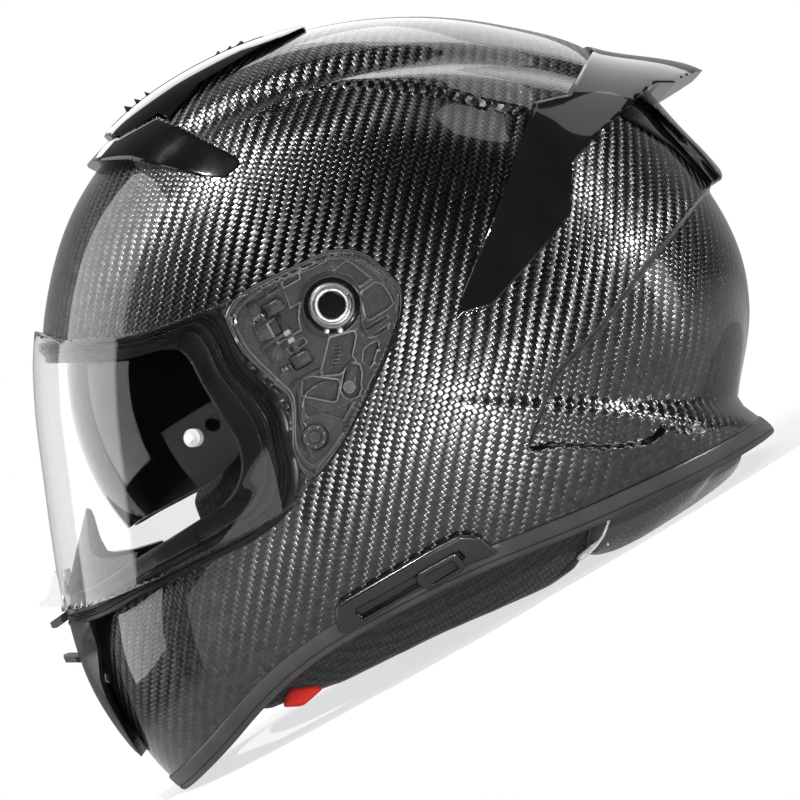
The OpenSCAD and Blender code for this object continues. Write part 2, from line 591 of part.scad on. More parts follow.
hood_add = [0, 1, 7, 6.5, 3, 0, 0, 0, 0, 0, 0, 0, 0, 0, 0, 0, 0, 0, 0, 0, 0, 0, 0, 0];
hood_line = [[101, 133], [108, 140], [126, 132], [146, 110], [143.5, 100.5], [140.9, 95.4], [130.5, 108.9],
             [112.5, 125.6]];
module exhaust_hood() color([0.13, 0.13, 0.14]) set_down() moulded() difference() {
    intersection() { skin(sum_lists(shell_r, hood_add)); through() polygon(hood_line); }
    shell_skin(fit);
    through() offset(delta = fit) polygon(spoiler_line);
}
channel_line = [[99, 128], [111.5, 125], [129.8, 108.2], [139.5, 95.5], [136, 93], [119, 109], [103.5, 116.5],
                [95, 120.5]];
module exhaust_channel() color([0.3, 0.3, 0.31]) set_down() moulded() difference() {
    intersection() { shell_skin(1.4); through() polygon(channel_line); }
    shell_skin(fit);
}

chin_vent_line = [[-141, -96.3], [-160, -98], [-160, -130], [-115, -160], [-117.9, -152.5], [-123.8, -140.9],
                  [-128.3, -131.9], [-131, -123.8], [-131.9, -108.5], [-134.5, -97]];
module chin_skin(grow = 0) skin(sum_lists(shell_r, chin_add), grow = grow);
module chin_vent() color([0.12, 0.12, 0.12]) set_down() moulded() difference() {
    intersection() { chin_skin(); through() polygon(chin_vent_line); }
    shell_skin(fit);
    through() offset(delta = fit) eyeport_area();
    lock_room();
    // mouth with the shutter's track
    translate([-185, -21, -127]) cube([60, 42, 18]);
}
// Grille that fills the mouth behind the shutter.
module chin_vent_grille() color([0.25, 0.25, 0.25]) set_down() moulded() difference() {
    intersection() { shell_skin(2.6); translate([-185, -20.7, -126.7]) cube([60, 41.4, 17.4]); }
    shell_skin(fit);
    for (i = [-3:3]) translate([-185, i * 5.6 - 1.8, -125]) cube([60, 3.6, 14]);
}
// Shutter with a thumb lip, drawn closed; it slides down to open the mouth.
module chin_vent_shutter() color([0.1, 0.1, 0.1]) set_down() moulded() {
    difference() {
        intersection() { chin_skin(-1); translate([-185, -20.3, -118.5]) cube([60, 40.6, 9]); }
        chin_skin(-3.5);
    }
    difference() {
        intersection() { chin_skin(8); translate([-185, -12, -118.5]) cube([60, 24, 2.6]); }
        chin_skin(-3.5);
    }
}

// Lever under the shield's lower edge that lifts it from its seal.
lock_w = 16;
lock_line = [[-146.8, -96.2], [-149.6, -96], [-156.6, -101], [-155.6, -103.5], [-153.5, -103.3],
             [-147.5, -98.9]];
module lock_room() translate([-165, -lock_w / 2 - fit, -105]) cube([18.5, lock_w + 2 * fit, 11]);
module shield_lock() color([0.2, 0.2, 0.2]) set_down() {
    rotate([90, 0, 0]) linear_extrude(lock_w, center = true) polygon(lock_line);
}

guard_line = [[-160, -50], [-137, -52], [-137, -60], [-134, -80], [-132, -88], [-160, -88]];
module breath_guard() color([0.12, 0.12, 0.12]) set_down() moulded() difference() {
    intersection() {
        shield_skin(-7);
        through() intersection() {
            polygon(guard_line);
            offset(delta = -fit) polygon(smooth_line(gasket_inner, 2));
        }
        translate([-200, -34, -100]) cube([100, 68, 80]);
    }
    shield_skin(-9.5);
}

// Flat band of webbing along points in the Y-Z plane, centred at strap_x.
strap_x = -8;
function band_normal(p, i) =
    let (d = p[min(i + 1, len(p) - 1)] - p[max(i - 1, 0)]) [-d[1], d[0]] / norm(d);
module ribbon(p, w, t) capped_rows([for (i = [0:len(p) - 1])
    let (o = band_normal(p, i) * t / 2)
    [for (c = [[1, -1], [1, 1], [-1, 1], [-1, -1]])
        [strap_x + c[0] * w / 2, p[i][0] + c[1] * o[0], p[i][1] + c[1] * o[1]]]]);
strap_top = half_width - 12.8;
strap_run = [[-strap_top, -40], [0.9 - strap_top, -50], [4.6 - strap_top, -60], [-97, -69], [-81, -80],
             [-66, -89], [-48, -96], [-30, -99]];
strap_fold = 5.5;            // radius of each end's fold round the rings
ring_bar = [-9, -104.5];     // straight bars of the rings, in the left fold
ring_fold = [7, -104.5];     // centre of the right fold, round the rings' bows
function flipped(p) = [for (q = p) [-q[0], q[1]]];
strap_left_path = concat(strap_run,
    [for (a = [90:-30:-90]) ring_bar + strap_fold * [cos(a), sin(a)]], [[-18, -110], [-34, -108]]);
strap_right_path = concat(flipped(strap_run),
    [for (a = [90:-30:-90]) ring_fold + strap_fold * [-cos(a), sin(a)]], [[18, -110], [34, -108]]);
module strap_left() color([0.07, 0.07, 0.07]) set_down() moulded() difference() {
    ribbon(strap_left_path, strap_w, strap_thick);
    anchor_hole();
}
module strap_right() color([0.07, 0.07, 0.07]) set_down() moulded() difference() {
    ribbon(strap_right_path, strap_w, strap_thick);
    mirror([0, 1, 0]) anchor_hole();
}
// Two D-rings, one on the other, that hang in the left strap's fold.
ring_wire = 1.9;
ring_leg = 10;
module d_ring() {
    half = strap_w / 2 + 3;
    rotate([0, 90, 0]) cylinder(r = ring_wire, h = 2 * half, center = true, $fn = 24);
    for (x = [-half, half]) {
        translate([x, 0, 0]) sphere(r = ring_wire, $fn = 24);
        translate([x, 0, 0]) rotate([-90, 0, 0]) cylinder(r = ring_wire, h = ring_leg, $fn = 24);
    }
    intersection() {
        translate([0, ring_leg, 0]) rotate_extrude($fn = 48) translate([half, 0])
            circle(r = ring_wire, $fn = 24);
        translate([-30, ring_leg, -5]) cube([60, 30, 10]);
    }
}
module strap_rings() color([0.7, 0.7, 0.72]) set_down()
    for (side = [-1, 1]) translate([strap_x, ring_bar[0], ring_bar[1] + side * (ring_wire + fit)]) d_ring();
anchor_at = [strap_x, -44];
anchor_y = shell_half(anchor_at[0], anchor_at[1]) - shell_wall - 3.4;
anchor_head = half_width - 16.6;   // distance from the middle plane to the rivets' heads
module anchor_hole() on_side(anchor_at[0], anchor_at[1], 100) cylinder(r = 3.3, h = 30, $fn = 24);
// Rivets that hold the strap's ends to the shell.
module strap_anchors() color([0.6, 0.6, 0.62]) set_down() both_sides() {
    on_side(anchor_at[0], anchor_at[1], anchor_head) cylinder(r = 6, h = 1.6, $fn = 32);
    on_side(anchor_at[0], anchor_at[1], anchor_head + 1.4)
        cylinder(r = 3, h = anchor_y - anchor_head - 1.4, $fn = 32);
}

// Red tabs under the cheek pads that draw the pads out.
tab_line = [[-49.6, -131], [-46.5, -124], [-40, -112], [-32, -112], [-33, -123.5], [-41, -130.5]];
module release_tab() difference() {
    side_slab(cheek_y - 14, cheek_y - 2) polygon(tab_line);
    cheek_form(fit);
}
module release_tab_left() color([0.8, 0.1, 0.08]) set_down() moulded() release_tab();
module release_tab_right() color([0.8, 0.1, 0.08]) set_down() moulded() mirror([0, 1, 0]) release_tab();

// Two small coil springs behind the latch blocks of each side.
spring_r = 1.3;
spring_wire = 0.32;
spring_len = 5;
spring_turns = 3;
function spring_point(t, i) =
    let (a = 360 * spring_turns * t, r = spring_r + spring_wire * cos(90 * i))
    [r * cos(a), r * sin(a), spring_len * t + spring_wire * sin(90 * i)];
module spring() capped_rows([for (j = [0:6 * spring_turns]) [for (i = [0:3])
    spring_point(j / (6 * spring_turns), i)]]);
module latch_springs() color([0.8, 0.8, 0.8]) set_down() both_sides()
    for (p = [latch_a, latch_b]) translate([p[0], -plate_face - 2, p[1]]) rotate([0, -latch_turn, 0])
        translate([-latch_len / 2 - fit - spring_wire - spring_len, 0, 0]) rotate([0, 90, 0]) spring();

outer_shell();
impact_liner();
chin_liner();
crown_pad();
cheek_pad_left();
cheek_pad_right();
neck_roll();
neck_piping();
rim_trim();
eyeport_gasket();
shield();
lens_pins();
sun_shield();
sun_shield_pivots();
sun_slider_housing();
sun_slider();
base_plate_left();
base_plate_right();
pivot_pin_left();
pivot_pin_right();
shield_hub_left();
shield_hub_right();
shield_latch_left();
shield_latch_right();
latch_springs();
release_lever_left();
release_lever_right();
base_screws();
top_vent();
top_vent_slider();
brow_vent();
rear_spoiler();
exhaust_hood();
exhaust_channel();
chin_vent();
chin_vent_shutter();
chin_vent_grille();
shield_lock();
breath_guard();
strap_left();
strap_right();
strap_rings();
strap_anchors();
release_tab_left();
release_tab_right();
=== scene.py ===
import math

import bpy
import numpy as np
from mathutils import Matrix, Vector
from mathutils.bvhtree import BVHTree


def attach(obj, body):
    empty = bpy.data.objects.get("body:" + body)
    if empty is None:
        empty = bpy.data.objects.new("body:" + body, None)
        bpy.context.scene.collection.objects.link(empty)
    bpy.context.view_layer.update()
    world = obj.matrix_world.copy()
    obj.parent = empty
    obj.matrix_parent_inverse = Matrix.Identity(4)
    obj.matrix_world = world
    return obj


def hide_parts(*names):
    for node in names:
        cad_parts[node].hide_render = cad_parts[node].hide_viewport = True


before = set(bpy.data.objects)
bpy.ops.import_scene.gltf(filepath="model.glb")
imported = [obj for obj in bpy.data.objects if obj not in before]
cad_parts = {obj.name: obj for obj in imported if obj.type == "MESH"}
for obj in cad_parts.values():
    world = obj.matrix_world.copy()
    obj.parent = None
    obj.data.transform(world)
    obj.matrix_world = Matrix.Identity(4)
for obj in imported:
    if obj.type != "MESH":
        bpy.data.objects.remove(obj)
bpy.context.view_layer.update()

# Camera: the helmet stands on its rim on a pale table, and the camera is level with the
# ear point, 1.4 m from the middle plane, rolled by the angle through which the worn helmet is turned.
TILT = math.radians(30)
EAR_X, EAR_Z = 0.54, 103.4
VIEW_DISTANCE = 1.4
MIDDLE = Vector((-0.000135, 0, 0.10223))
camera_data = bpy.data.cameras.new("photo_camera")
camera_data.lens = 140
camera_data.sensor_width = 36
camera = bpy.data.objects.new("photo_camera", camera_data)
bpy.context.collection.objects.link(camera)
right = Vector((math.cos(TILT), 0, -math.sin(TILT)))
up = Vector((math.sin(TILT), 0, math.cos(TILT)))
camera.matrix_world = Matrix.Translation(MIDDLE - Vector((0, VIEW_DISTANCE, 0))) @ Matrix(
    (right, up, Vector((0, -1, 0)))).transposed().to_4x4()
bpy.context.scene.camera = camera
bpy.context.scene.view_settings.view_transform = "Standard"


def wired(tree, node, pairs):
    """Node with a link or a plain value on each named input."""
    for socket, source in pairs:
        if isinstance(source, bpy.types.NodeSocket):
            tree.links.new(source, node.inputs[socket])
        else:
            node.inputs[socket].default_value = source
    return node


def add_node(tree, kind, pairs=(), **settings):
    """Shader node of a kind, with its settings and with (input, source or value) pairs."""
    node = tree.nodes.new("ShaderNode" + kind)
    for key, value in settings.items():
        setattr(node, key, value)
    return wired(tree, node, pairs)


def sums(tree, operation, a, b=0.0, c=0.0):
    """Math node's result."""
    return add_node(tree, "Math", [(0, a), (1, b), (2, c)], operation=operation).outputs[0]


def remap(tree, value, low, high, to_low=0.0, to_high=1.0, kind="LINEAR"):
    """Value moved from one range to another, and held inside it."""
    return add_node(tree, "MapRange", [("Value", value), ("From Min", low), ("From Max", high),
                    ("To Min", to_low), ("To Max", to_high)], interpolation_type=kind).outputs[0]


def blend(tree, factor, a, b, kind="FLOAT", how="MIX"):
    """Mix of two values or colours."""
    return add_node(tree, "Mix", [("Factor", factor), ("A", a), ("B", b)], data_type=kind,
                    blend_type=how).outputs["Result"]


# Studio: white where the camera sees it, and a dim room with a grey wall in reflections. The levels are for
# soft light, and for reflections of the camera's side and of what is behind the object.
SOFT_LIGHT, DIM_ROOM, GREY_WALL = 0.45, 0.012, 0.3
world = bpy.data.worlds.new("studio")
bpy.context.scene.world = world
world.use_nodes = True
tree = world.node_tree
rays = add_node(tree, "LightPath").outputs
sky = add_node(tree, "TexCoord").outputs["Generated"]
ahead = add_node(tree, "SeparateXYZ", [(0, sky)]).outputs["Y"]
# the studio behind the object is white, and so is what is seen of it through a clear part
through = sums(tree, "MULTIPLY", rays["Is Transmission Ray"], sums(tree, "GREATER_THAN", ahead, 0.5))
seen = sums(tree, "MAXIMUM", rays["Is Camera Ray"], through)
mirrored_room = remap(tree, ahead, 0.2, 0.95, DIM_ROOM, GREY_WALL, "SMOOTHSTEP")
unseen = blend(tree, rays["Is Glossy Ray"], SOFT_LIGHT, mirrored_room)
wired(tree, tree.nodes["Background"], [("Strength", blend(tree, seen, unseen, 1.0)), ("Color", (1, 1, 1, 1))])


def softbox(name, along, above, towards, width, height, power, shape="RECTANGLE"):
    """Soft panel or small lamp placed in the picture's own directions round the helmet, facing its middle."""
    data = bpy.data.lights.new(name, "AREA")
    data.shape = shape
    data.size, data.size_y = width, height
    data.energy = power
    lamp = bpy.data.objects.new(name, data)
    bpy.context.collection.objects.link(lamp)
    place = MIDDLE + right * along + up * above - Vector((0, towards, 0))
    lamp.location = place
    lamp.rotation_euler = (MIDDLE - place).to_track_quat("-Z", "Y").to_euler()
    lamp.visible_camera = False


softbox("crown_panel", 0.05, 0.95, -0.85, 1.9, 0.75, 6.5)
softbox("shoulder_panel", 0.1, 1.25, -0.34, 1.6, 0.3, 2.0)
softbox("front_panel", -1.15, 0.1, -0.1, 0.8, 1.7, 10)
softbox("low_panel", -0.75, -0.75, 0.95, 1.0, 0.7, 2.0)
softbox("rear_panel", 1.25, 0.1, 0.35, 0.25, 1.1, 1.6)
softbox("key_lamp", 0.25, -0.12, 1.4, 0.02, 0.02, 20, "DISK")
softbox("upper_lamp", -0.78, 0.95, 0.45, 0.02, 0.02, 20, "DISK")
softbox("rear_lamp", 1.0, 0.7, 0.5, 0.02, 0.02, 12, "DISK")

# Table: a pale painted disc under the helmet. It fades out into the white studio, and gives off some light
# of its own so that it stays nearly white.
TABLE_RADIUS, FADE_FROM, FADE_TO = 0.75, 0.25, 0.6


def new_material(name):
    """Node material, with its tree and its shader."""
    material = bpy.data.materials.new(name)
    material.use_nodes = True
    return material, material.node_tree, material.node_tree.nodes["Principled BSDF"]


bpy.ops.mesh.primitive_circle_add(vertices=96, radius=TABLE_RADIUS, fill_type="NGON")
table = bpy.context.object
table.name = "table_top"
material, tree, shader = new_material("table_paint")
wired(tree, shader, [("Base Color", (0.9, 0.9, 0.9, 1)), ("Roughness", 0.8)])
spot = add_node(tree, "TexCoord").outputs["Object"]
far_out = add_node(tree, "VectorMath", [(0, spot)], operation="LENGTH").outputs["Value"]
fade = remap(tree, far_out, FADE_FROM, FADE_TO, kind="SMOOTHSTEP")
dimmed = remap(tree, add_node(tree, "LightPath").outputs["Is Glossy Ray"], 0.0, 1.0, 1.0, 0.12)
glow = add_node(tree, "Emission", [("Strength", dimmed)]).outputs[0]
pale = add_node(tree, "MixShader", [(0, 0.3), (1, glow), (2, shader.outputs[0])]).outputs[0]
clear = add_node(tree, "BsdfTransparent").outputs[0]
faded = add_node(tree, "MixShader", [(0, fade), (1, pale), (2, clear)]).outputs[0]
wired(tree, tree.nodes["Material Output"], [("Surface", faded)])
table.data.materials.append(material)

# Composite shell: twill carbon cloth in clear resin, moulded in one piece and cut out for the face, the
# side mechanism and the rim. It is an egg that follows a side outline, hollowed and cut by side views.
HALF_WIDTH = 124
WALL = 3
SQUARE = 2.3
JAW_TAPER = 0.07
FLARE_OUT, FLARE_HEIGHT = 16, 5.5
CREASE_DEEP, RECESS_DEEP = 2.6, 2.4
SHELL_R = [151, 161.5, 168, 167.5, 176, 172, 169.7, 169, 168.5, 169, 168, 163.5,
           159.3, 157.3, 161.5, 183, 199, 204, 190, 173, 164, 159, 157, 155]
RIM_LINE = [(-140, -206), (-103.5, -169.2), (-82, -146), (-63.4, -124), (-46, -107.5), (-27.2, -94.2),
            (3, -77.5), (33.5, -63.2), (83.7, -43.1), (129.2, -22.8), (159.8, -8.1), (200, 10)]
EYEPORT_LINE = [(-185, 22), (-119.7, 24), (-96, 29), (-79, 35), (-71.5, 27), (-66, 14), (-55, 2),
                (-48.5, -8), (-46, -20), (-43.5, -32), (-47, -46), (-62.6, -59), (-84.6, -70),
                (-110, -83), (-133.7, -95.5), (-185, -112)]
MECH_LINE = [(-72, 35), (-62.7, 44.7), (-41.3, 55.3), (-28.9, 60.7), (-18.6, 60.7), (-10.3, 56.6),
             (0, 46.3), (1.7, 40), (0.8, 31.8), (-2, 23.5), (-8.3, 9), (-16.5, -7.4), (-24.8, -21.9),
             (-35.1, -33.5), (-41.5, -29.5), (-44.2, -22), (-45, -3), (-51.6, 5), (-64, 17.3), (-70, 27)]
DISH_FACE = 110.7
MECH_REACH = 38
# creases of the moulding, in the side view: two steps beside the crown, and the recess of the back
CROWN_RIDGE = [(-112, 106), (-96.9, 117.1), (-81.8, 126.6), (-64.6, 134.4), (-43.1, 143), (-21.5, 148.6),
               (0, 151.6), (21.5, 152.9), (43.1, 151.6), (64.6, 148.6), (90, 143)]
SIDE_RIDGE = [(-70, 112), (-53, 126), (-46.7, 130.3), (-24.6, 134.9), (0, 133.2), (21.2, 129.4),
              (38.2, 124.7), (56, 121)]
BACK_CREASE = [(140, 96), (129, 86), (116.5, 71.6), (99.8, 52), (83.2, 30), (65.3, 11.2), (60.3, 0.8),
               (58.2, -5.4), (53.2, -17.9), (54, -22.9), (64.5, -21.2), (87.4, -22), (104, -20), (112, -14)]


def curve4(a, b, c, d, t):
    return 0.5 * (2 * b + (c - a) * t + (2 * a - 5 * b + 4 * c - d) * t**2 + (3 * b - a - 3 * c + d) * t**3)


def round_list(values, angle):
    """Value of a list that runs once round the circle, at angles in degrees."""
    values = np.asarray(values, float)
    s = np.asarray(angle) / 360 * len(values)
    i = np.floor(s).astype(int)
    a, b, c, d = (values[(i + k) % len(values)] for k in (-1, 0, 1, 2))
    return curve4(a, b, c, d, s - i)


def smooth_line(points, steps=6, closed=False):
    """Points of a smooth curve through the given ones."""
    p = [np.array(q, float) for q in points]
    n = len(p)
    pick = (lambda i: p[i % n]) if closed else (lambda i: p[min(max(i, 0), n - 1)])
    runs = n if closed else n - 1
    line = [curve4(pick(i - 1), pick(i), pick(i + 1), pick(i + 2), k / steps)
            for i in range(runs) for k in range(steps)]
    return np.array(line if closed else line + [p[-1]])


def ease(t):
    s = np.clip(t, 0, 1)
    return s * s * (3 - 2 * s)


def narrowing(z):
    return 1 - JAW_TAPER * ease((10 - z) / 130)


def radius_at(angle, radii, grow, flared):
    """Radius of a skin's side outline, with the flare of the rear edge, at angles in degrees."""
    below = 360 - angle
    flare = FLARE_OUT * ease(below / FLARE_HEIGHT) * (1 - ease((below - 8) / 22)) * (angle > 320)
    return round_list(radii, angle) + grow + (flare if flared else 0)


def skin_place(angle, turn, radii=SHELL_R, half=HALF_WIDTH, square=SQUARE, grow=0, centre=(0, 0),
               flared=True):
    """Places on a skin, in mm round the ear point, at angles round it and turns from left to right."""
    r = radius_at(angle, radii, grow, flared) * np.sin(turn) ** (2 / square)
    c = np.cos(turn)
    z = centre[1] + r * np.sin(np.radians(angle))
    y = -np.sign(c) * np.abs(c) ** (2 / square) * (half + grow) * narrowing(z)
    return np.stack([centre[0] + r * np.cos(np.radians(angle)), y, z], axis=-1)


def line_distance(x, z, line, closed=False):
    """Distance of side-view places from a line of points."""
    line = np.asarray(line, float)
    ends = np.roll(line, -1, axis=0) if closed else line[1:]
    best = np.full(np.shape(x), 1e9)
    for (ax, az), (bx, bz) in zip(line if closed else line[:-1], ends):
        dx, dz = bx - ax, bz - az
        t = np.clip(((x - ax) * dx + (z - az) * dz) / (dx * dx + dz * dz + 1e-9), 0, 1)
        best = np.minimum(best, np.hypot(x - ax - t * dx, z - az - t * dz))
    return best


def inside(x, z, line):
    """Whether side-view places lie inside a closed outline."""
    line = np.asarray(line, float)
    found = np.zeros(np.shape(x), bool)
    for (ax, az), (bx, bz) in zip(line, np.roll(line, -1, axis=0)):
        if az != bz:
            found ^= ((az > z) != (bz > z)) & (x < (bx - ax) * (z - az) / (bz - az) + ax)
    return found


def arc_table():
    """Length over the shell from the temple, for each degree round it and each degree of turn."""
    angle, turn = np.meshgrid(np.arange(361.0), np.radians(np.arange(91.0)), indexing="ij")
    steps = np.linalg.norm(np.diff(skin_place(angle % 360, turn), axis=1), axis=-1)
    return np.concatenate([np.zeros((361, 1)), np.cumsum(steps, axis=1)], axis=1)


ARCS = arc_table()


def lay_cloth(piece, angle, turn):
    """UVs of the cloth in mm, unrolled over the shell from each temple outwards."""
    turn = np.degrees(np.minimum(turn, math.pi - turn))
    i, j = np.floor(angle).astype(int), np.minimum(np.floor(turn).astype(int), 89)
    s, t = angle - i, turn - j
    arc = ((ARCS[i, j] * (1 - t) + ARCS[i, j + 1] * t) * (1 - s)
           + (ARCS[i + 1, j] * (1 - t) + ARCS[i + 1, j + 1] * t) * s)
    place = np.stack([arc * np.cos(np.radians(angle)), arc * np.sin(np.radians(angle))], axis=-1)
    cloth = piece.data.uv_layers.new(name="cloth")
    corner = np.empty(len(piece.data.loops), int)
    piece.data.loops.foreach_get("vertex_index", corner)
    cloth.data.foreach_set("uv", place[corner].ravel())
    piece.data.uv_layers.active = cloth


def egg(name, segments, rows, relief=None, near=(), reach=4, **skin):
    """Closed skin: a sphere whose mesh is finer near the given side-view lines, shaped by the formula."""
    bpy.ops.mesh.primitive_uv_sphere_add(segments=segments, ring_count=rows, radius=1)
    piece = bpy.context.object
    piece.name = name

    def places():
        co = np.empty(len(piece.data.vertices) * 3)
        piece.data.vertices.foreach_get("co", co)
        co = co.reshape(-1, 3)
        angle = np.degrees(np.arctan2(co[:, 1], co[:, 0])) % 360
        return angle, np.arctan2(np.hypot(co[:, 0], co[:, 1]), co[:, 2])

    for wider in (1.6, 1) if near else ():
        p = skin_place(*places(), **skin)
        close = np.zeros(len(p), bool)
        for line in near:
            close |= line_distance(p[:, 0], p[:, 2], line) < reach * wider
        bpy.ops.object.mode_set(mode="EDIT")
        bpy.ops.mesh.select_all(action="DESELECT")
        bpy.ops.object.mode_set(mode="OBJECT")
        piece.data.vertices.foreach_set("select", close)
        bpy.ops.object.mode_set(mode="EDIT")
        bpy.context.tool_settings.mesh_select_mode = (True, False, False)
        bpy.ops.mesh.select_mode(type="VERT")
        bpy.ops.mesh.subdivide(number_cuts=1)
        bpy.ops.object.mode_set(mode="OBJECT")
    angle, turn = places()
    grow = skin.pop("grow", 0)
    p = skin_place(angle, turn, grow=grow, **skin)
    if relief:
        x, y, z = p.T
        steep = np.hypot(relief(x + 0.5, y, z) - relief(x - 0.5, y, z),
                         relief(x, y, z + 0.5) - relief(x, y, z - 0.5))
        p = skin_place(angle, turn, grow=grow + relief(x, y, z), **skin)
        piece.data.attributes.new("steep", "FLOAT", "POINT").data.foreach_set("value", steep)
    piece.data.vertices.foreach_set("co", p.ravel())
    piece.data.update()
    lay_cloth(piece, angle, turn)
    return piece


def reshape(piece, operator, **settings):
    """Runs a mesh operator on all of the selected piece."""
    bpy.ops.object.mode_set(mode="EDIT")
    bpy.ops.mesh.select_all(action="SELECT")
    operator(**settings)
    bpy.ops.object.mode_set(mode="OBJECT")
    return piece


def outwards(piece):
    """Turns every face of the selected piece outwards."""
    return reshape(piece, bpy.ops.mesh.normals_make_consistent, inside=False)


def prism(outline, near=-400, deep=400):
    """Closed bar along Y of a side outline, between two distances to the right of the middle plane."""
    bpy.ops.mesh.primitive_circle_add(vertices=len(outline), radius=1, fill_type="NGON")
    piece = bpy.context.object
    for v, (x, z) in zip(piece.data.vertices, outline):
        v.co = (x, near, z)
    along = {"value": (0, deep - near, 0)}
    return outwards(reshape(piece, bpy.ops.mesh.extrude_region_move, TRANSFORM_OT_translate=along))


def choose(*pieces):
    """Selects these pieces only, and makes the first one active."""
    bpy.ops.object.select_all(action="DESELECT")
    for piece in pieces:
        piece.select_set(True)
    bpy.context.view_layer.objects.active = pieces[0]


def change(piece, kind, **settings):
    """Applies a modifier with its settings to the active piece."""
    step = piece.modifiers.new("step", kind)
    for key, value in settings.items():
        setattr(step, key, value)
    bpy.ops.object.modifier_apply(modifier="step")
    return piece


def combine(piece, other, operation="DIFFERENCE"):
    """Cuts, joins or intersects a piece with another one, which is used up."""
    choose(piece)
    change(piece, "BOOLEAN", operation=operation, solver="MANIFOLD", object=other)
    bpy.data.objects.remove(other, do_unlink=True)
    return piece


SET_DOWN = Matrix.Scale(0.001, 4) @ Matrix.Translation((EAR_X, 0, EAR_Z)) @ Matrix.Rotation(TILT, 4, "Y")


def finish_piece(piece, name, nodes, material, body="helmet", sharp=35):
    """Sets a piece down with the helmet, gives it its material, smooths it, hides the parts it stands for and
    hangs it on the body it rides on.
    """
    piece.name = piece.data.name = name
    piece.data.transform(SET_DOWN)
    piece.data.materials.clear()
    piece.data.materials.append(material)
    choose(piece)
    bpy.ops.object.shade_smooth_by_angle(angle=math.radians(sharp))
    if nodes:
        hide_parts(*nodes)
    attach(piece, body)


def grown(outline, share):
    """Outline scaled about its middle."""
    outline = np.asarray(outline, float)
    middle = outline.mean(axis=0)
    return middle + (outline - middle) * share


def shell_relief(x, y, z):
    """Steps of the moulding: down below each crown ridge, and down inside the recess of the back."""
    def step(line, run, sharp):
        line = smooth_line(line)
        below = np.interp(x, line[:, 0], line[:, 1]) - z
        across = ease((x - line[0, 0]) / 25) * ease((line[-1, 0] - x) / 12)
        return -CREASE_DEEP * across * ease(below / sharp) * (1 - ease((below - sharp) / run))

    crease = smooth_line(BACK_CREASE)
    back = np.vstack([crease, [(190, -10), (190, 96)]])
    d = line_distance(x, z, crease)
    recess = -RECESS_DEEP * inside(x, z, back) * ease(d / 2.5) * (1 - ease((d - 4) / 40))
    # the moulding stays outside the foam liner
    return np.maximum(step(CROWN_RIDGE, 10, 8) + step(SIDE_RIDGE, 24, 2) + recess, -CREASE_DEEP)


creases = [smooth_line(q, 3) for q in (CROWN_RIDGE, SIDE_RIDGE, BACK_CREASE)]
shell = egg("shell", 240, 110, shell_relief, creases)
inner = egg("inner", 120, 50, grow=-WALL)
mech_line = smooth_line(MECH_LINE, 3, closed=True)
for near, deep in ((-HALF_WIDTH, -DISH_FACE + WALL), (DISH_FACE - WALL, HALF_WIDTH)):
    combine(inner, prism(grown(mech_line, 1 + WALL / MECH_REACH), near, deep))
combine(shell, inner)
rim = smooth_line(RIM_LINE)
combine(shell, prism(np.vstack([rim, [(400, 10), (400, -400), (-400, -400), (-400, -206)]])))
combine(shell, prism(smooth_line(EYEPORT_LINE)))
for near, deep in ((-140, -DISH_FACE), (DISH_FACE, 140)):
    combine(shell, prism(mech_line, near, deep))


def new_group(name, inputs, outputs):
    """Node group: an input without a value is a vector, any other is a float, and so is each output."""
    group = bpy.data.node_groups.new(name, "ShaderNodeTree")
    for label, value in inputs.items():
        kind = "NodeSocketVector" if value is None else "NodeSocketFloat"
        socket = group.interface.new_socket(label, in_out="INPUT", socket_type=kind)
        if value is not None:
            socket.default_value = value
    for label in outputs:
        group.interface.new_socket(label, in_out="OUTPUT", socket_type="NodeSocketFloat")
    given = group.nodes.new("NodeGroupInput").outputs
    return group, given, group.nodes.new("NodeGroupOutput")


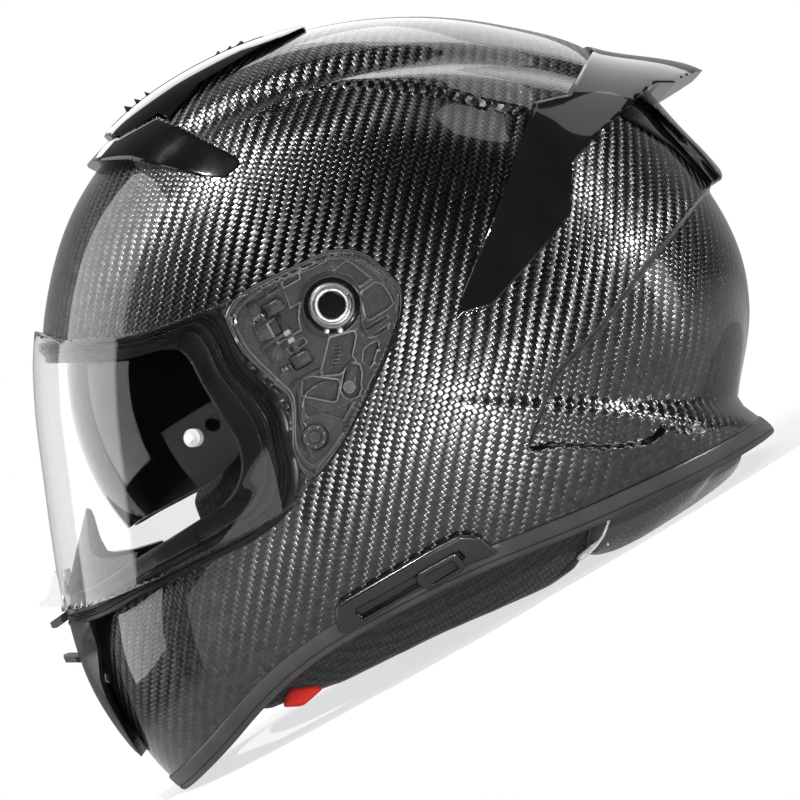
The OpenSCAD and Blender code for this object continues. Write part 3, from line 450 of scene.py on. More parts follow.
def twill_group():
    """Two over, two under cloth: which tow is on top, and how high its surface stands."""
    group, given, result = new_group("twill_cloth", {"Place": None, "Tow": 1.9, "Turn": 0.6},
                                     ["Warp", "Height", "Gap", "Cell"])

    def calc(operation, *terms):
        return sums(group, operation, *terms)

    def bulge(along, across):
        a = calc("POWER", calc("ABSOLUTE", along), 4.0)
        c = calc("POWER", calc("ABSOLUTE", calc("MULTIPLY_ADD", across, 2.0, -1.0)), 4.0)
        return calc("SUBTRACT", 1.0, calc("MULTIPLY_ADD", a, 0.55, calc("MULTIPLY", c, 0.45)))

    turned = add_node(group, "VectorRotate", [("Vector", given["Place"]), ("Angle", given["Turn"])],
                      rotation_type="Z_AXIS").outputs[0]
    place = add_node(group, "SeparateXYZ", [(0, turned)]).outputs
    u, v = calc("DIVIDE", place["X"], given["Tow"]), calc("DIVIDE", place["Y"], given["Tow"])
    i, j = calc("FLOOR", u), calc("FLOOR", v)
    fu, fv = calc("SUBTRACT", u, i), calc("SUBTRACT", v, j)
    warp = calc("LESS_THAN", calc("FLOORED_MODULO", calc("SUBTRACT", i, j), 4.0), 1.5)
    # how far along its float each tow is, from -1 to 1
    up_run = calc("ADD", calc("SUBTRACT", v, i), 1.0)
    flat_run = calc("SUBTRACT", calc("SUBTRACT", u, j), 2.0)
    p = calc("SUBTRACT", calc("FLOORED_MODULO", up_run, 4.0), 1.0)
    q = calc("SUBTRACT", calc("FLOORED_MODULO", flat_run, 4.0), 1.0)
    height = blend(group, warp, bulge(q, fv), bulge(p, fu))
    # every float has its own number, for its shade and the way it leans
    up_float = calc("FLOOR", calc("DIVIDE", up_run, 4.0))
    flat_float = calc("FLOOR", calc("DIVIDE", flat_run, 4.0))
    number = add_node(group, "CombineXYZ", [(0, blend(group, warp, j, i)),
                      (1, blend(group, warp, flat_float, up_float)), (2, warp)]).outputs[0]
    own = add_node(group, "TexWhiteNoise", [("Vector", number)]).outputs
    apart = add_node(group, "SeparateXYZ", [(0, own["Color"])]).outputs
    endways = calc("SUBTRACT", apart["X"], 0.5)
    sideways = calc("MULTIPLY", calc("SUBTRACT", apart["Y"], 0.5), blend(group, warp, fv, fu))
    lean = calc("MULTIPLY_ADD", endways, blend(group, warp, q, p), sideways)
    wired(group, result, [("Warp", warp), ("Height", calc("MULTIPLY_ADD", lean, 0.16, height)),
                          ("Gap", remap(group, height, 0.25, 0.05)), ("Cell", own["Value"])])
    return group


TWILL = twill_group()


def bumped(tree, height, depth):
    """Normal of a surface whose bumps have a real depth in metres."""
    return add_node(tree, "Bump", [("Height", height), ("Strength", 1.0), ("Distance", depth)]).outputs[0]


def carbon_material(name, tow=1.9, turn=35):
    """Twill carbon under a polished clear coat: each tow shines across its own fibres."""
    material, tree, shader = new_material(name)
    cloth = add_node(tree, "UVMap", uv_map="cloth").outputs[0]
    # slow wander, so that the tows aren't ruled lines
    drift = add_node(tree, "TexNoise", [("Vector", cloth), ("Scale", 0.02), ("Detail", 1.0)])
    shifted = add_node(tree, "VectorMath", [(0, drift.outputs["Color"]), (1, (3.0, 3.0, 0)), (2, cloth)],
                       operation="MULTIPLY_ADD").outputs[0]
    weave = add_node(tree, "Group", [("Place", shifted), ("Tow", tow), ("Turn", math.radians(-turn))],
                     node_tree=TWILL).outputs
    uneven = remap(tree, weave["Cell"], 0.0, 1.0, 0.05, 0.085)
    dark = blend(tree, weave["Gap"], uneven, (0.003, 0.003, 0.003, 1), "RGBA")
    # bare resin where the cloth turns over a sharp step
    bare = remap(tree, add_node(tree, "Attribute", attribute_name="steep").outputs["Fac"], 0.62, 0.9)
    fibres = add_node(tree, "Tangent", direction_type="UV_MAP", uv_map="cloth").outputs[0]
    wired(tree, shader, [
        ("Base Color", blend(tree, bare, dark, (0.05, 0.05, 0.052, 1), "RGBA")),
        ("Normal", bumped(tree, blend(tree, bare, weave["Height"], 0.5), 0.00022)), ("Tangent", fibres),
        ("Anisotropic Rotation", remap(tree, weave["Warp"], 0.0, 1.0, (turn + 90) / 360, turn / 360)),
        ("Anisotropic", 0.85), ("Metallic", 1.0), ("Roughness", 0.3), ("Coat Weight", 1.0),
        ("Coat Roughness", 0.02), ("Coat IOR", 1.5)])
    return material


carbon = carbon_material("twill_carbon")
finish_piece(shell, "carbon_shell", ["outer_shell"], carbon)

# Rim trim: soft rubber edging, extruded with a grooved lower lip and pressed over the shell's lower edge
# all round. Each row of its mesh is one edge of its profile.
# distance below the rim line, and height over the shell
TRIM_PROFILE = [(0.05, -8), (0.05, -0.4), (0.35, 0.6), (1.0, 1.0), (3.0, 1.0), (5.6, 0.95), (6.2, 0.9),
                (6.45, 0.35), (6.75, 0.35), (7.0, 0.85), (8.2, 0.8), (9.1, 0.35), (9.5, -0.8), (9.5, -7),
                (8.8, -8)]
TRIM_POINTS = 220


def run_of(line):
    """Length along a line up to each of its points."""
    return np.concatenate([[0], np.cumsum(np.linalg.norm(np.diff(line, axis=0), axis=1))])


def even_line(line, count):
    """Evenly spaced points along a line."""
    run = run_of(line)
    even = np.linspace(0, run[-1], count)
    return np.stack([np.interp(even, run, values) for values in line.T], axis=-1)


def surface_line(line, count, grow=0, radii=SHELL_R):
    """Evenly spaced places where a side-view line lies on the left of a skin, up to the middle plane."""
    along = run_of(line)

    def lift(t):
        x, z = np.interp(t, along, line[:, 0]), np.interp(t, along, line[:, 1])
        angle = np.degrees(np.arctan2(z, x)) % 360
        return x, z, np.hypot(x, z) / radius_at(angle, radii, grow, True)

    fine = np.linspace(0, along[-1], 3000)
    on = np.flatnonzero(lift(fine)[2] < 1)
    first, last = fine[on[0]], fine[on[-1]]
    x, z, share = lift(first + (last - first) * (1 - np.cos(np.linspace(0, math.pi, 2000))) / 2)
    share = np.minimum(share, 1)
    y = -(HALF_WIDTH + grow) * (1 - share ** SQUARE) ** (1 / SQUARE) * narrowing(z)
    y[0] = y[-1] = 0
    return even_line(np.stack([x, y, z], axis=-1), count)


def offset_line(line, distance):
    """Side-view line moved to its right-hand side."""
    along = np.gradient(np.asarray(line, float), axis=0)
    along /= np.linalg.norm(along, axis=1)[:, None]
    return line + distance * np.stack([along[:, 1], -along[:, 0]], axis=-1)


def weld(piece, gap):
    """Joins points of the selected piece that are closer than a gap."""
    return reshape(piece, bpy.ops.mesh.remove_doubles, threshold=gap)


def ring_piece(name, rows):
    """Closed band round the helmet: each row is the left half of one edge of its profile."""
    loops = [np.vstack([row, (row * (1, -1, 1))[-2:0:-1], row[:1]]) for row in rows]
    places = np.stack([*loops, loops[0]])
    across, along = len(places) - 1, len(loops[0]) - 1
    bpy.ops.mesh.primitive_grid_add(x_subdivisions=along, y_subdivisions=across, size=2)
    piece = bpy.context.object
    piece.name = name
    for v in piece.data.vertices:
        v.co = places[round((v.co.y + 1) / 2 * across), round((v.co.x + 1) / 2 * along)]
    return outwards(weld(piece, 0.0001))


def grain_group():
    """Fine moulded grain: a height for the bump, and an uneven shade."""
    group, given, result = new_group("moulded_grain", {"Place": None, "Grain": 1500.0}, ["Height", "Shade"])
    fine, broad = (add_node(group, "TexNoise", [("Vector", given["Place"]), ("Scale", scale),
                            ("Detail", 3.0)]).outputs["Fac"] for scale in (given["Grain"], 60.0))
    wired(group, result, [("Height", fine), ("Shade", remap(group, broad, 0.3, 0.7, 0.82, 1.18))])
    return group


GRAIN = grain_group()


def shaded(tree, colour, shade):
    """Colour made lighter or darker by a shade."""
    return blend(tree, 1.0, (*colour, 1), shade, "RGBA", "MULTIPLY")


def grained_material(name, colour, roughness, depth, grain=1500.0, coat=0.0, spread=0.08, specular=0.5,
                     metal=0.0):
    """Moulded plastic, rubber or painted metal with a fine grain and an uneven gloss."""
    material, tree, shader = new_material(name)
    place = add_node(tree, "TexCoord").outputs["Object"]
    skin = add_node(tree, "Group", [("Place", place), ("Grain", grain)], node_tree=GRAIN).outputs
    wired(tree, shader, [
        ("Base Color", shaded(tree, colour, skin["Shade"])),
        ("Roughness", remap(tree, skin["Shade"], 0.8, 1.2, roughness - spread, roughness + spread)),
        ("Normal", bumped(tree, skin["Height"], depth)), ("Specular IOR Level", specular),
        ("Metallic", metal), ("Coat Weight", coat), ("Coat Roughness", 0.03)])
    return material


rubber = grained_material("soft_rubber", (0.05, 0.05, 0.052), 0.36, 0.00003, 2200.0)
rim_fine = smooth_line(RIM_LINE, 12)
trim = ring_piece("trim", [surface_line(offset_line(rim_fine, d), TRIM_POINTS, g) for d, g in TRIM_PROFILE])
finish_piece(trim, "rim_edging", ["rim_trim"], rubber)
# its foot stays on the ground
for v in trim.data.vertices:
    v.co.z = max(v.co.z, 0)

# Eyeport seal: extruded black rubber with two sealing ribs and a wide inner lip, glued round the opening.
# The ribs stand just under the closed shield.
SHIELD_ADD = [0, 0, 0, 0, 0, 0, 0, 0, 0, 0, 0.5, 1, 0.3, 3, 10.3, 14, 8, 2, 0, 0, 0, 0, 0, 0]
GASKET_INNER = [(-185, 14), (-122, 15), (-98, 19.5), (-89, 17), (-82, 5), (-74, -8), (-67, -20),
                (-66, -32), (-72, -43), (-88, -54), (-112, -69), (-135, -83), (-185, -100)]
# share of the way from the shell to the lip, height over the shell, and share of the shield's bulge
GASKET_PROFILE = [(0.03, -4.6, 0.8), (-0.09, -0.6, 0.9), (-0.09, 0.5, 1), (-0.06, 0.9, 1), (0.05, 0.9, 1),
                  (0.08, 0.2, 1), (0.10, 0.2, 1), (0.12, 1.0, 1), (0.15, 1.0, 1), (0.17, 0.4, 1),
                  (0.19, -0.7, 1), (0.24, -0.7, 1), (0.26, 0.4, 1), (0.29, 1.0, 1), (0.35, 1.0, 1),
                  (0.38, 0.2, 1),
                  (0.40, -0.9, 1), (0.47, -1.1, 1), (0.49, -0.6, 1), (0.52, -0.6, 1), (0.55, -1.2, 1),
                  (0.80, -2.0, 1), (0.92, -2.0, 1), (0.97, -2.4, 1), (1.0, -3.4, 0.95), (1.0, -4.6, 0.85)]
GASKET_POINTS = 200
outer_edge, inner_edge = (even_line(smooth_line(q, 12), 400) for q in (EYEPORT_LINE, GASKET_INNER))
rows = []
for share, height, bulge in GASKET_PROFILE:
    radii = [r + bulge * a for r, a in zip(SHELL_R, SHIELD_ADD)]
    rows.append(surface_line(outer_edge * (1 - share) + inner_edge * share, GASKET_POINTS, height, radii))
seal = grained_material("seal_rubber", (0.006, 0.006, 0.0065), 0.3, 0.00003, 1800.0, specular=0.18)
finish_piece(ring_piece("gasket", rows), "eyeport_seal", ["eyeport_gasket"], seal)

# Breath guard: a thin sheet of moulded rubber that rises to a point at the nose. It is bent round the
# inside of the chin bar and leans forward.
GUARD_HALF, GUARD_THICK, GUARD_FOOT, GUARD_FRONT = 60, 1.6, -89, -149
# how high its upper edge is, at distances from the middle plane
GUARD_TOP = [(0, -50), (3, -50.6), (8, -54), (18, -64.5), (25, -70), (31, -71), (45, -70), (60, -67)]
bpy.ops.mesh.primitive_grid_add(x_subdivisions=96, y_subdivisions=16, size=2)
guard = bpy.context.object
for v in guard.data.vertices:
    side = abs(v.co.x) * GUARD_HALF
    top = np.interp(side, *zip(*GUARD_TOP))
    z = GUARD_FOOT + (top - GUARD_FOOT) * (v.co.y + 1) / 2
    v.co = (GUARD_FRONT + 33 * (side / GUARD_HALF) ** 1.3 + 0.25 * (z + 86), v.co.x * GUARD_HALF, z)
outwards(change(guard, "SOLIDIFY", thickness=GUARD_THICK))
finish_piece(guard, "breath_guard_sheet", ["breath_guard"], seal)

# Clear shield: injection-moulded polycarbonate, 2.2 mm thick, that swings on the side hubs. Its top is a
# raised flange over a crease, and its arms cover the side mechanism.
SHIELD_THICK, SHIELD_GAP = 2.2, 1.6
SHIELD_OUT = SHIELD_THICK + SHIELD_GAP
SHIELD_LINE = [(-185, 23.4), (-146, 24), (-120.3, 25.8), (-101.5, 29.2), (-77, 37.5), (-61.7, 43),
               (-41, 53.5), (-28.5, 58.5), (-18.6, 58.7), (-11.3, 55), (-2, 45), (-0.3, 39),
               (-1.2, 31.5), (-4, 23), (-10, 8.5), (-18, -8), (-26, -21.5), (-35.5, -32.5), (-43, -44),
               (-60, -55.5), (-84.6, -67.5), (-110, -80), (-143, -92.5), (-185, -96)]
SHIELD_CREASE = [(-185, 13.5), (-162, 13), (-134, 11.5), (-106.9, 9.4), (-77.4, 6.3), (-66, 4)]
THUMB_TAB = [(-150.6, -93.5), (-151.5, -78), (-154.2, -77.9), (-156.5, -88), (-160.7, -92), (-160.7, -93.6)]
SHIELD_R = [r + a for r, a in zip(SHELL_R, SHIELD_ADD)]
EDGE_ROUND = 0.9
edge = smooth_line(SHIELD_LINE, 4, closed=True)
crease = smooth_line(SHIELD_CREASE, 6)


def rounded(x, z, line, radius):
    """How far a rounded edge of some radius falls away, near a closed outline."""
    d = np.minimum(line_distance(x, z, line, closed=True), radius)
    return -(radius - np.sqrt(np.maximum(radius**2 - (radius - d) ** 2, 0)))


def flange(x, y, z):
    """The shield above its crease leans inwards, towards the front only."""
    over = z - np.interp(x, crease[:, 0], crease[:, 1])
    return -0.05 * np.clip(over, 0, 16) * ease((-58 - x) / 12)


shield = egg("shield", 260, 120, lambda x, y, z: flange(x, y, z) + rounded(x, z, edge, EDGE_ROUND),
             [edge, crease], reach=3, radii=SHIELD_R, grow=SHIELD_OUT)
combine(shield, prism(edge), "INTERSECT")
combine(shield, egg("under", 200, 90, flange, radii=SHIELD_R, grow=SHIELD_GAP))
combine(shield, prism(THUMB_TAB, -13, 13), "UNION")


def clear_material(name, tint, shadow):
    """Clear or tinted polycarbonate that lets light through to what is behind it."""
    material, tree, shader = new_material(name)
    place = add_node(tree, "TexCoord").outputs["Object"]
    film = add_node(tree, "TexNoise", [("Vector", place), ("Scale", 14.0), ("Detail", 2.0)])
    wired(tree, shader, [
        ("Roughness", remap(tree, film.outputs["Fac"], 0.35, 0.7, 0.0, 0.004)),
        ("Base Color", (*tint, 1)), ("Transmission Weight", 1.0), ("IOR", 1.5)])
    rays = add_node(tree, "LightPath").outputs
    through = sums(tree, "MAXIMUM", rays["Is Shadow Ray"], rays["Is Diffuse Ray"])
    pass_by = add_node(tree, "BsdfTransparent", [("Color", (*shadow, 1))]).outputs[0]
    both = add_node(tree, "MixShader", [(0, through), (1, shader.outputs[0]), (2, pass_by)]).outputs[0]
    wired(tree, tree.nodes["Material Output"], [("Surface", both)])
    return material


clear = clear_material("clear_polycarbonate", (0.97, 0.975, 0.98), (0.9, 0.9, 0.9))
finish_piece(shield, "clear_shield", ["shield"], clear, "shield_assembly")

# Sun shield: smoked polycarbonate on two pins at the temples, cut out for the nose, drawn down behind the
# clear shield.
SUN_PIVOT = (-40, 20)
SUN_R = [107 if i < 12 else 107 + 1.6 * (i - 11) if i < 16 else 114 for i in range(24)]
SUN_HALF, SUN_THICK = 103, 2
NOSE_CUT, PIN_HOLE = 21, 4.6
SUN_LINE = [(-165, 38), (-110, 44), (-75, 44), (-50, 33), (-35, 29), (-30.5, 20), (-34, 11), (-48, 3),
            (-64, -20), (-77.7, -34), (-98.9, -46), (-112, -53), (-122, -59), (-140, -66), (-170, -70)]
sun_skin = dict(radii=SUN_R, half=SUN_HALF, square=2.4, centre=SUN_PIVOT, flared=False)
sun = egg("sun", 260, 120, **sun_skin)
combine(sun, prism(smooth_line(SUN_LINE, 3, closed=True)), "INTERSECT")
combine(sun, egg("under", 200, 90, grow=-SUN_THICK, **sun_skin))
bpy.ops.mesh.primitive_cylinder_add(vertices=96, radius=NOSE_CUT, depth=120, location=(-140, 0, -68),
                                    rotation=(0, math.pi / 2, 0))
combine(sun, bpy.context.object)
bpy.ops.mesh.primitive_cylinder_add(vertices=64, radius=PIN_HOLE, depth=400, rotation=(math.pi / 2, 0, 0),
                                    location=(SUN_PIVOT[0], 0, SUN_PIVOT[1]))
combine(sun, bpy.context.object)
smoked = clear_material("smoked_polycarbonate", (0.03, 0.03, 0.032), (0.15, 0.15, 0.15))
finish_piece(sun, "smoked_sun_shield", ["sun_shield"], smoked, "sun_visor")

# Crown vent: an injection-moulded intake in gloss black, clipped onto the middle of the crown. Like the other
# plates, it is a skin over the shell, cut to its own side outline and rounded along its edges.
TOP_LINE = [(-134.5, 117), (-150, 150), (-45, 172), (-42, 163.5), (-49, 158.9), (-66, 149.6),
            (-87.2, 136), (-99.8, 120.2), (-104.6, 123), (-118, 114.5), (-126, 113.5)]
TOP_CREASE = [(-125, 116), (-120.7, 120.2), (-96.5, 136.9), (-70.2, 151.4), (-48.3, 157.5), (-40, 160)]
SUNK = -1.5


def swelling(first, *heights):
    """Heights over the shell's side outline, from its entry number first on."""
    return [0] * first + [*heights] + [0] * (len(SHELL_R) - first - len(heights))


def plate(name, add, outline, over=0, edge_radius=1.4, relief=None, under=SUNK, near=(), segments=260,
          rows=120):
    """Plate over the shell within a side outline, with rounded edges and its own relief."""
    outline = np.asarray(outline, float)

    def shape(x, y, z):
        return rounded(x, z, outline, edge_radius) + (relief(x, y, z) if relief else 0)

    piece = egg(name, segments, rows, shape, [np.vstack([outline, outline[:1]]), *near], reach=3,
                radii=[r + a for r, a in zip(SHELL_R, add)], grow=over)
    combine(piece, prism(outline), "INTERSECT")
    return combine(piece, egg("under", 160, 80, grow=under))


def fall_away(crease, slope, reach, corners):
    """Relief that slopes down on one side of a crease, whose outline the corners close."""
    crease = np.asarray(crease, float)
    side = np.vstack([crease, corners])

    def relief(x, y, z):
        return -slope * np.clip(line_distance(x, z, crease), 0, reach) * inside(x, z, side)
    return relief


gloss_black = grained_material("gloss_black", (0.004, 0.004, 0.0045), 0.12, 0.000004, 900.0, coat=1.0,
                               spread=0.04, specular=0.04)
satin_black = grained_material("satin_black", (0.022, 0.022, 0.023), 0.38, 0.00004, 2600.0)
top_add = swelling(7, 2.4, 5, 7.2, 8, 6)
behind = fall_away(TOP_CREASE, 0.45, 12, [(400, 160), (400, -400), (-125, -400)])
top_plate = plate("top", top_add, TOP_LINE, relief=behind, near=[TOP_CREASE])
finish_piece(top_plate, "crown_vent_plate", ["top_vent"], gloss_black)

# Brow vent: an injection-moulded wing in gloss black, glued over the intake above the eyeport. Its flanks and
# its tips fall away behind their creases.
BROW_LINE = [(-149, 103.9), (-134, 118), (-122, 112.5), (-104.6, 121), (-94.6, 115.7), (-69.3, 102.9),
             (-65.9, 98.3), (-73.5, 92), (-84.6, 93.5), (-103.2, 98.5), (-116, 101.6), (-132, 102.3)]
BROW_CREASE = [(-118, 95), (-115.4, 102.4), (-94.7, 116.3), (-90, 119)]
TIP_CREASE = [(-134, 98), (-131, 102), (-124.7, 110), (-120, 118)]
flank = fall_away(BROW_CREASE, 0.26, 9, [(400, 119), (400, -400), (-118, -400)])
tip = fall_away(TIP_CREASE, 0.4, 12, [(-400, 118), (-400, -400), (-134, -400)])
brow = plate("brow", swelling(7, 1, 2, 5, 10.5, 12, 4), BROW_LINE, over=1.5,
             relief=lambda x, y, z: flank(x, y, z) + tip(x, y, z), near=[BROW_CREASE, TIP_CREASE])
finish_piece(brow, "brow_wing", ["brow_vent"], gloss_black)

# Spoiler: an injection-moulded wing in gloss black, glued across the back of the crown, with an arm that runs
# down each side.
SPOILER_LINE = [(80, 160), (85.4, 152.7), (71, 128.6), (56.5, 125), (55.7, 122), (43.9, 86.5), (33.2, 61),
                (24.8, 40.2), (23.5, 32.6), (37.3, 36.8), (49.7, 50.5), (64.5, 67.4), (70.9, 75.9),
                (72.7, 97.4), (78, 104.2), (104.4, 130.5), (110, 135), (118.8, 135.3), (121, 137.5),
                (134, 144.5), (112, 158)]
wing_add = swelling(1, 8, 30, 32, 1.2, 1.5, 2.5, 2.5)
spoiler = plate("spoiler", wing_add, SPOILER_LINE, over=1.8, edge_radius=1.2)
finish_piece(spoiler, "rear_wing", ["rear_spoiler"], gloss_black)

# Exhaust hood and duct: a moulded cover in twill carbon under the spoiler, and the gloss black duct that it
# covers. Both are glued to the shell.
HOOD_LINE = [(101, 133), (108, 140), (126, 132), (146, 110), (143.5, 100.5), (140.9, 95.4), (130.5, 108.9),
             (112.5, 125.6)]
CHANNEL_LINE = [(99, 128), (111.5, 125), (129.8, 108.2), (139.5, 95.5), (136, 93), (119, 109), (103.5, 116.5),
                (95, 120.5)]
hood = plate("hood", swelling(1, 1, 7, 6.5, 3), HOOD_LINE)
finish_piece(hood, "exhaust_cover", ["exhaust_hood"], carbon)
channel = plate("channel", swelling(0), CHANNEL_LINE, over=1.4)
finish_piece(channel, "exhaust_duct", ["exhaust_channel"], gloss_black)

# Chin vent: an injection-moulded frame in satin black, glued into the front of the chin bar. Its flanks fall
# back behind a crease on each side.
CHIN_LINE = [(-141, -96.3), (-160, -98), (-160, -130), (-115, -160), (-117.9, -152.5), (-123.8, -140.9),
             (-128.3, -131.9), (-131, -123.8), (-131.9, -108.5), (-134.5, -97)]
CHIN_CREASE = [(-130.5, -92), (-131.8, -93.9), (-138.8, -106), (-139.7, -114.8), (-131, -129.2),
               (-120, -143.2), (-110, -157)]
behind = fall_away(CHIN_CREASE, 0.7, 9, [(400, -157), (400, -92)])
chin = plate("chin", swelling(12, 2, 7, 13, 8, 3, 2), CHIN_LINE, relief=behind, near=[CHIN_CREASE])
finish_piece(chin, "chin_vent_frame", ["chin_vent"], satin_black)

# Side plates: injection-moulded in grained plastic with pockets, ribs and a toothed slot, and held by one
# screw each. A plate carries the shield's hub, a sprung latch and a release lever.
FACE = 114.5
POCKET_DEEP = 2.2
PIVOT, SCREW = (-28, 37.5), (-35.1, -16.5)
LEVER = (-20.8, 4)
POCKETS = [
    [(-41.3, 54.5), (-36.3, 57), (-31, 58.6), (-26.4, 58.6), (-27.7, 57.4), (-40.5, 50.8)],
    [(-49.1, 49.6), (-43, 52.9), (-41.3, 48.7), (-47.9, 45)],
    [(-57, 45.8), (-50.8, 49.1), (-49.6, 47.1), (-56.2, 43.8)],
    [(-27.3, 52), (-22.3, 55.8), (-19.8, 54.9), (-12, 48.7), (-16.9, 45.4), (-20.6, 50)],
    [(-15.7, 43), (-10.3, 47.1), (-7.4, 46.3), (-4.5, 42.1), (-2.9, 38.4), (-5, 36.3), (-12.4, 31.8),
     (-14, 32.6), (-15.7, 40.1)],
    [(-14.5, 28.3), (-5.8, 33.6), (-5, 32.4), (-13.6, 27)],
    [(-13.2, 24.4), (-4.5, 30.1), (-5.4, 27.7), (-9.5, 25.2)],
    [(-14.9, 19.4), (-13.2, 21.1), (-9.5, 23.1), (-8.7, 21.9), (-11.6, 12.8), (-15.3, 14.5)],
    [(-23.4, 8.2), (-22.3, 12.4), (-19.8, 14.2), (-16.9, 13.2), (-15.9, 10), (-16.3, 2.5), (-17.8, 0),
     (-20.6, -1), (-23.1, 0), (-24.3, 2.5)],
    [(-40.5, 1.7), (-40.1, 6.6), (-36.3, 8.3), (-25.6, 7), (-24.8, 5.4), (-26, -1.2), (-27.3, -2.1),
     (-40.1, 0.4)],
    [(-39.6, -2.1), (-31, -5.8), (-24.8, -4.5), (-19.4, -2.1), (-23.5, -9.6), (-27.3, -8.2), (-33, -6.8),
     (-38, -8.1), (-39.6, -6.2)],
    [(-28.9, 24.3), (-19, 27), (-18.2, 24.8), (-19.8, 16.9), (-18.2, 14.8), (-24.8, 9.4), (-31.8, 8.7),
     (-32.2, 11.2)],
    [(-47.3, 42.5), (-45.3, 36.3), (-41.1, 38.8), (-42, 32.6), (-41.1, 27.7), (-50, 22.3), (-54.5, 30.1),
     (-46.7, 35.9)],
    [(-46.5, 20), (-40, 24.4), (-38.4, 22.4), (-44.8, 17.8)]]
TEETH_SLOT = [(-27.3, 21.1), (-22.3, 20.2), (-24, 9.9), (-29, 10.9)]
FLAT_PADS = [[(-63.6, 37.6), (-59.1, 40.1), (-57.4, 34.7), (-60.3, 31)],
             [(-61.5, 29.7), (-55.3, 31), (-52, 24.8), (-58.2, 22.3)],
             [(-56.6, 19.8), (-50.4, 22.7), (-47.5, 16.9), (-52, 13.2)]]
RIBS = [[(-57.4, 21.1), (-44.6, 28.5), (-43.8, 26.8), (-56.2, 19.4)],
        [(-49.1, 21.9), (-40.5, 26.8), (-39.6, 25.6), (-47.9, 20.2)],
        [(-58.6, 39.6), (-50.4, 45), (-49.6, 43.8), (-57.4, 38)],
        [(-45.4, 5.8), (-33, 12), (-32.6, 10.7), (-45, 3.7)],
        [(-57.5, 43.5), (-38.5, 54), (-37.9, 52.9), (-56.9, 42.4)],
        [(-20.5, 45), (-17, 41), (-16.6, 30), (-14.2, 25.6), (-13.4, 26.4), (-15.4, 30.6), (-15.6, 41.6),
         (-19.6, 46)],
        [(-42.6, 2), (-41.6, 2.4), (-40.6, -10), (-36, -25), (-36.8, -25.6), (-41.6, -11)]]
TORSION_WIRE = [(-27.3, 5.4), (-31, 6.2), (-34.7, 4.5), (-38.4, 1.7), (-40.1, -2.9), (-40.3, -8),
                (-39, -11.6), (-36.5, -13.5)]
LATCH_BARRELS, LATCH_TURN = [(-51.9, 36.3), (-40.4, 15.2)], 30


def block(outline, low, high, bevel=0.35, segments=2):
    """Prism of a side outline on the left, between two depths, with its outer edge rounded."""
    piece = prism(outline, -high, -low)
    for edge in piece.data.edges:
        edge.select = all(piece.data.vertices[i].co.y < -high + 1e-4 for i in edge.vertices)
    bpy.context.tool_settings.mesh_select_mode = (False, True, False)
    bpy.ops.object.mode_set(mode="EDIT")
    bpy.ops.mesh.bevel(offset=bevel, segments=segments, affect="EDGES")
    bpy.ops.object.mode_set(mode="OBJECT")
    return piece


def join(pieces):
    """Makes one object of some pieces."""
    choose(*pieces)
    if len(pieces) > 1:
        bpy.ops.object.join()
    return pieces[0]


def circle(centre, radius, count=40):
    """Outline of a circle in the side view."""
    t = np.linspace(0, 2 * math.pi, count, endpoint=False)
    return np.stack([centre[0] + radius * np.cos(t), centre[1] + radius * np.sin(t)], axis=-1)


def around(centre, radius, degrees):
    """Place on a circle in the side view."""
    a = math.radians(degrees)
    return centre[0] + radius * math.cos(a), centre[1] + radius * math.sin(a)


def rectangle(centre, width, height, turn=0.0):
    """Outline of a turned rectangle in the side view."""
    c, s = math.cos(math.radians(turn)), math.sin(math.radians(turn))
    a, b = width / 2, height / 2
    corners = [(-a, -b), (a, -b), (a, b), (-a, b)]
    return [(centre[0] + c * x - s * z, centre[1] + s * x + c * z) for x, z in corners]


def turned(profile, centre, count=72):
    """Ring round an axis along Y on the left: the profile is a closed list of (radius, depth)."""
    loops = []
    for radius, depth in profile:
        x, z = circle(centre, radius, count).T
        loops.append(np.stack([x, np.full(count, -depth), z], axis=-1))
    bpy.ops.mesh.primitive_torus_add(major_segments=count, minor_segments=len(loops))
    piece = bpy.context.object
    piece.data.vertices.foreach_set("co", np.stack(loops, axis=1).ravel())
    piece.data.update()
    return outwards(piece)


def raised(profile, centre, count=72):
    """Turned ring whose depths are given over the plate's face."""
    return turned([(radius, FACE + over) for radius, over in profile], centre, count)


def stud(outline, low, high, bevel=0.35, segments=2):
    """Block between two heights over the plate's face."""
    return block(outline, FACE + low, FACE + high, bevel, segments)


def wire(points, radius):
    """Round wire along points."""
    curve = bpy.data.curves.new("wire", "CURVE")
    curve.dimensions = "3D"
    curve.bevel_depth = radius
    curve.bevel_resolution = 3
    curve.use_fill_caps = True
    line = curve.splines.new("POLY")
    line.points.add(len(points) - 1)
    line.points.foreach_set("co", np.hstack([np.asarray(points, float), np.ones((len(points), 1))]).ravel())
    piece = bpy.data.objects.new("wire", curve)
    bpy.context.collection.objects.link(piece)
    choose(piece)
    bpy.ops.object.convert(target="MESH")
    return bpy.context.object


def mirrored(piece):
    """Copy of a piece on the other side of the middle plane."""
    twin = piece.copy()
    twin.data = piece.data.copy()
    bpy.context.collection.objects.link(twin)
    for v in twin.data.vertices:
        v.co.y = -v.co.y
    twin.data.flip_normals()
    return twin


def both_sides(piece, name, node, material, body="helmet", sharp=35):
    """A left piece and its mirror image, each standing for the node of its side."""
    for side, part in (("left", piece), ("right", mirrored(piece))):
        finish_piece(part, name + "_" + side, [node + "_" + side] if node else [], material,
                     body.replace("SIDE", side), sharp)


def mech_outline(inset):
    """Outline of the side recess, moved inwards by about some millimetres."""
    return grown(smooth_line(MECH_LINE, 4, closed=True), 1 - inset / MECH_REACH)


plate_plastic = grained_material("plate_plastic", (0.012, 0.012, 0.0125), 0.45, 0.0002, 1300.0, specular=0.2)
tree = plate_plastic.node_tree
shader = tree.nodes["Principled BSDF"]
plain = shader.inputs["Base Color"].links[0].from_socket
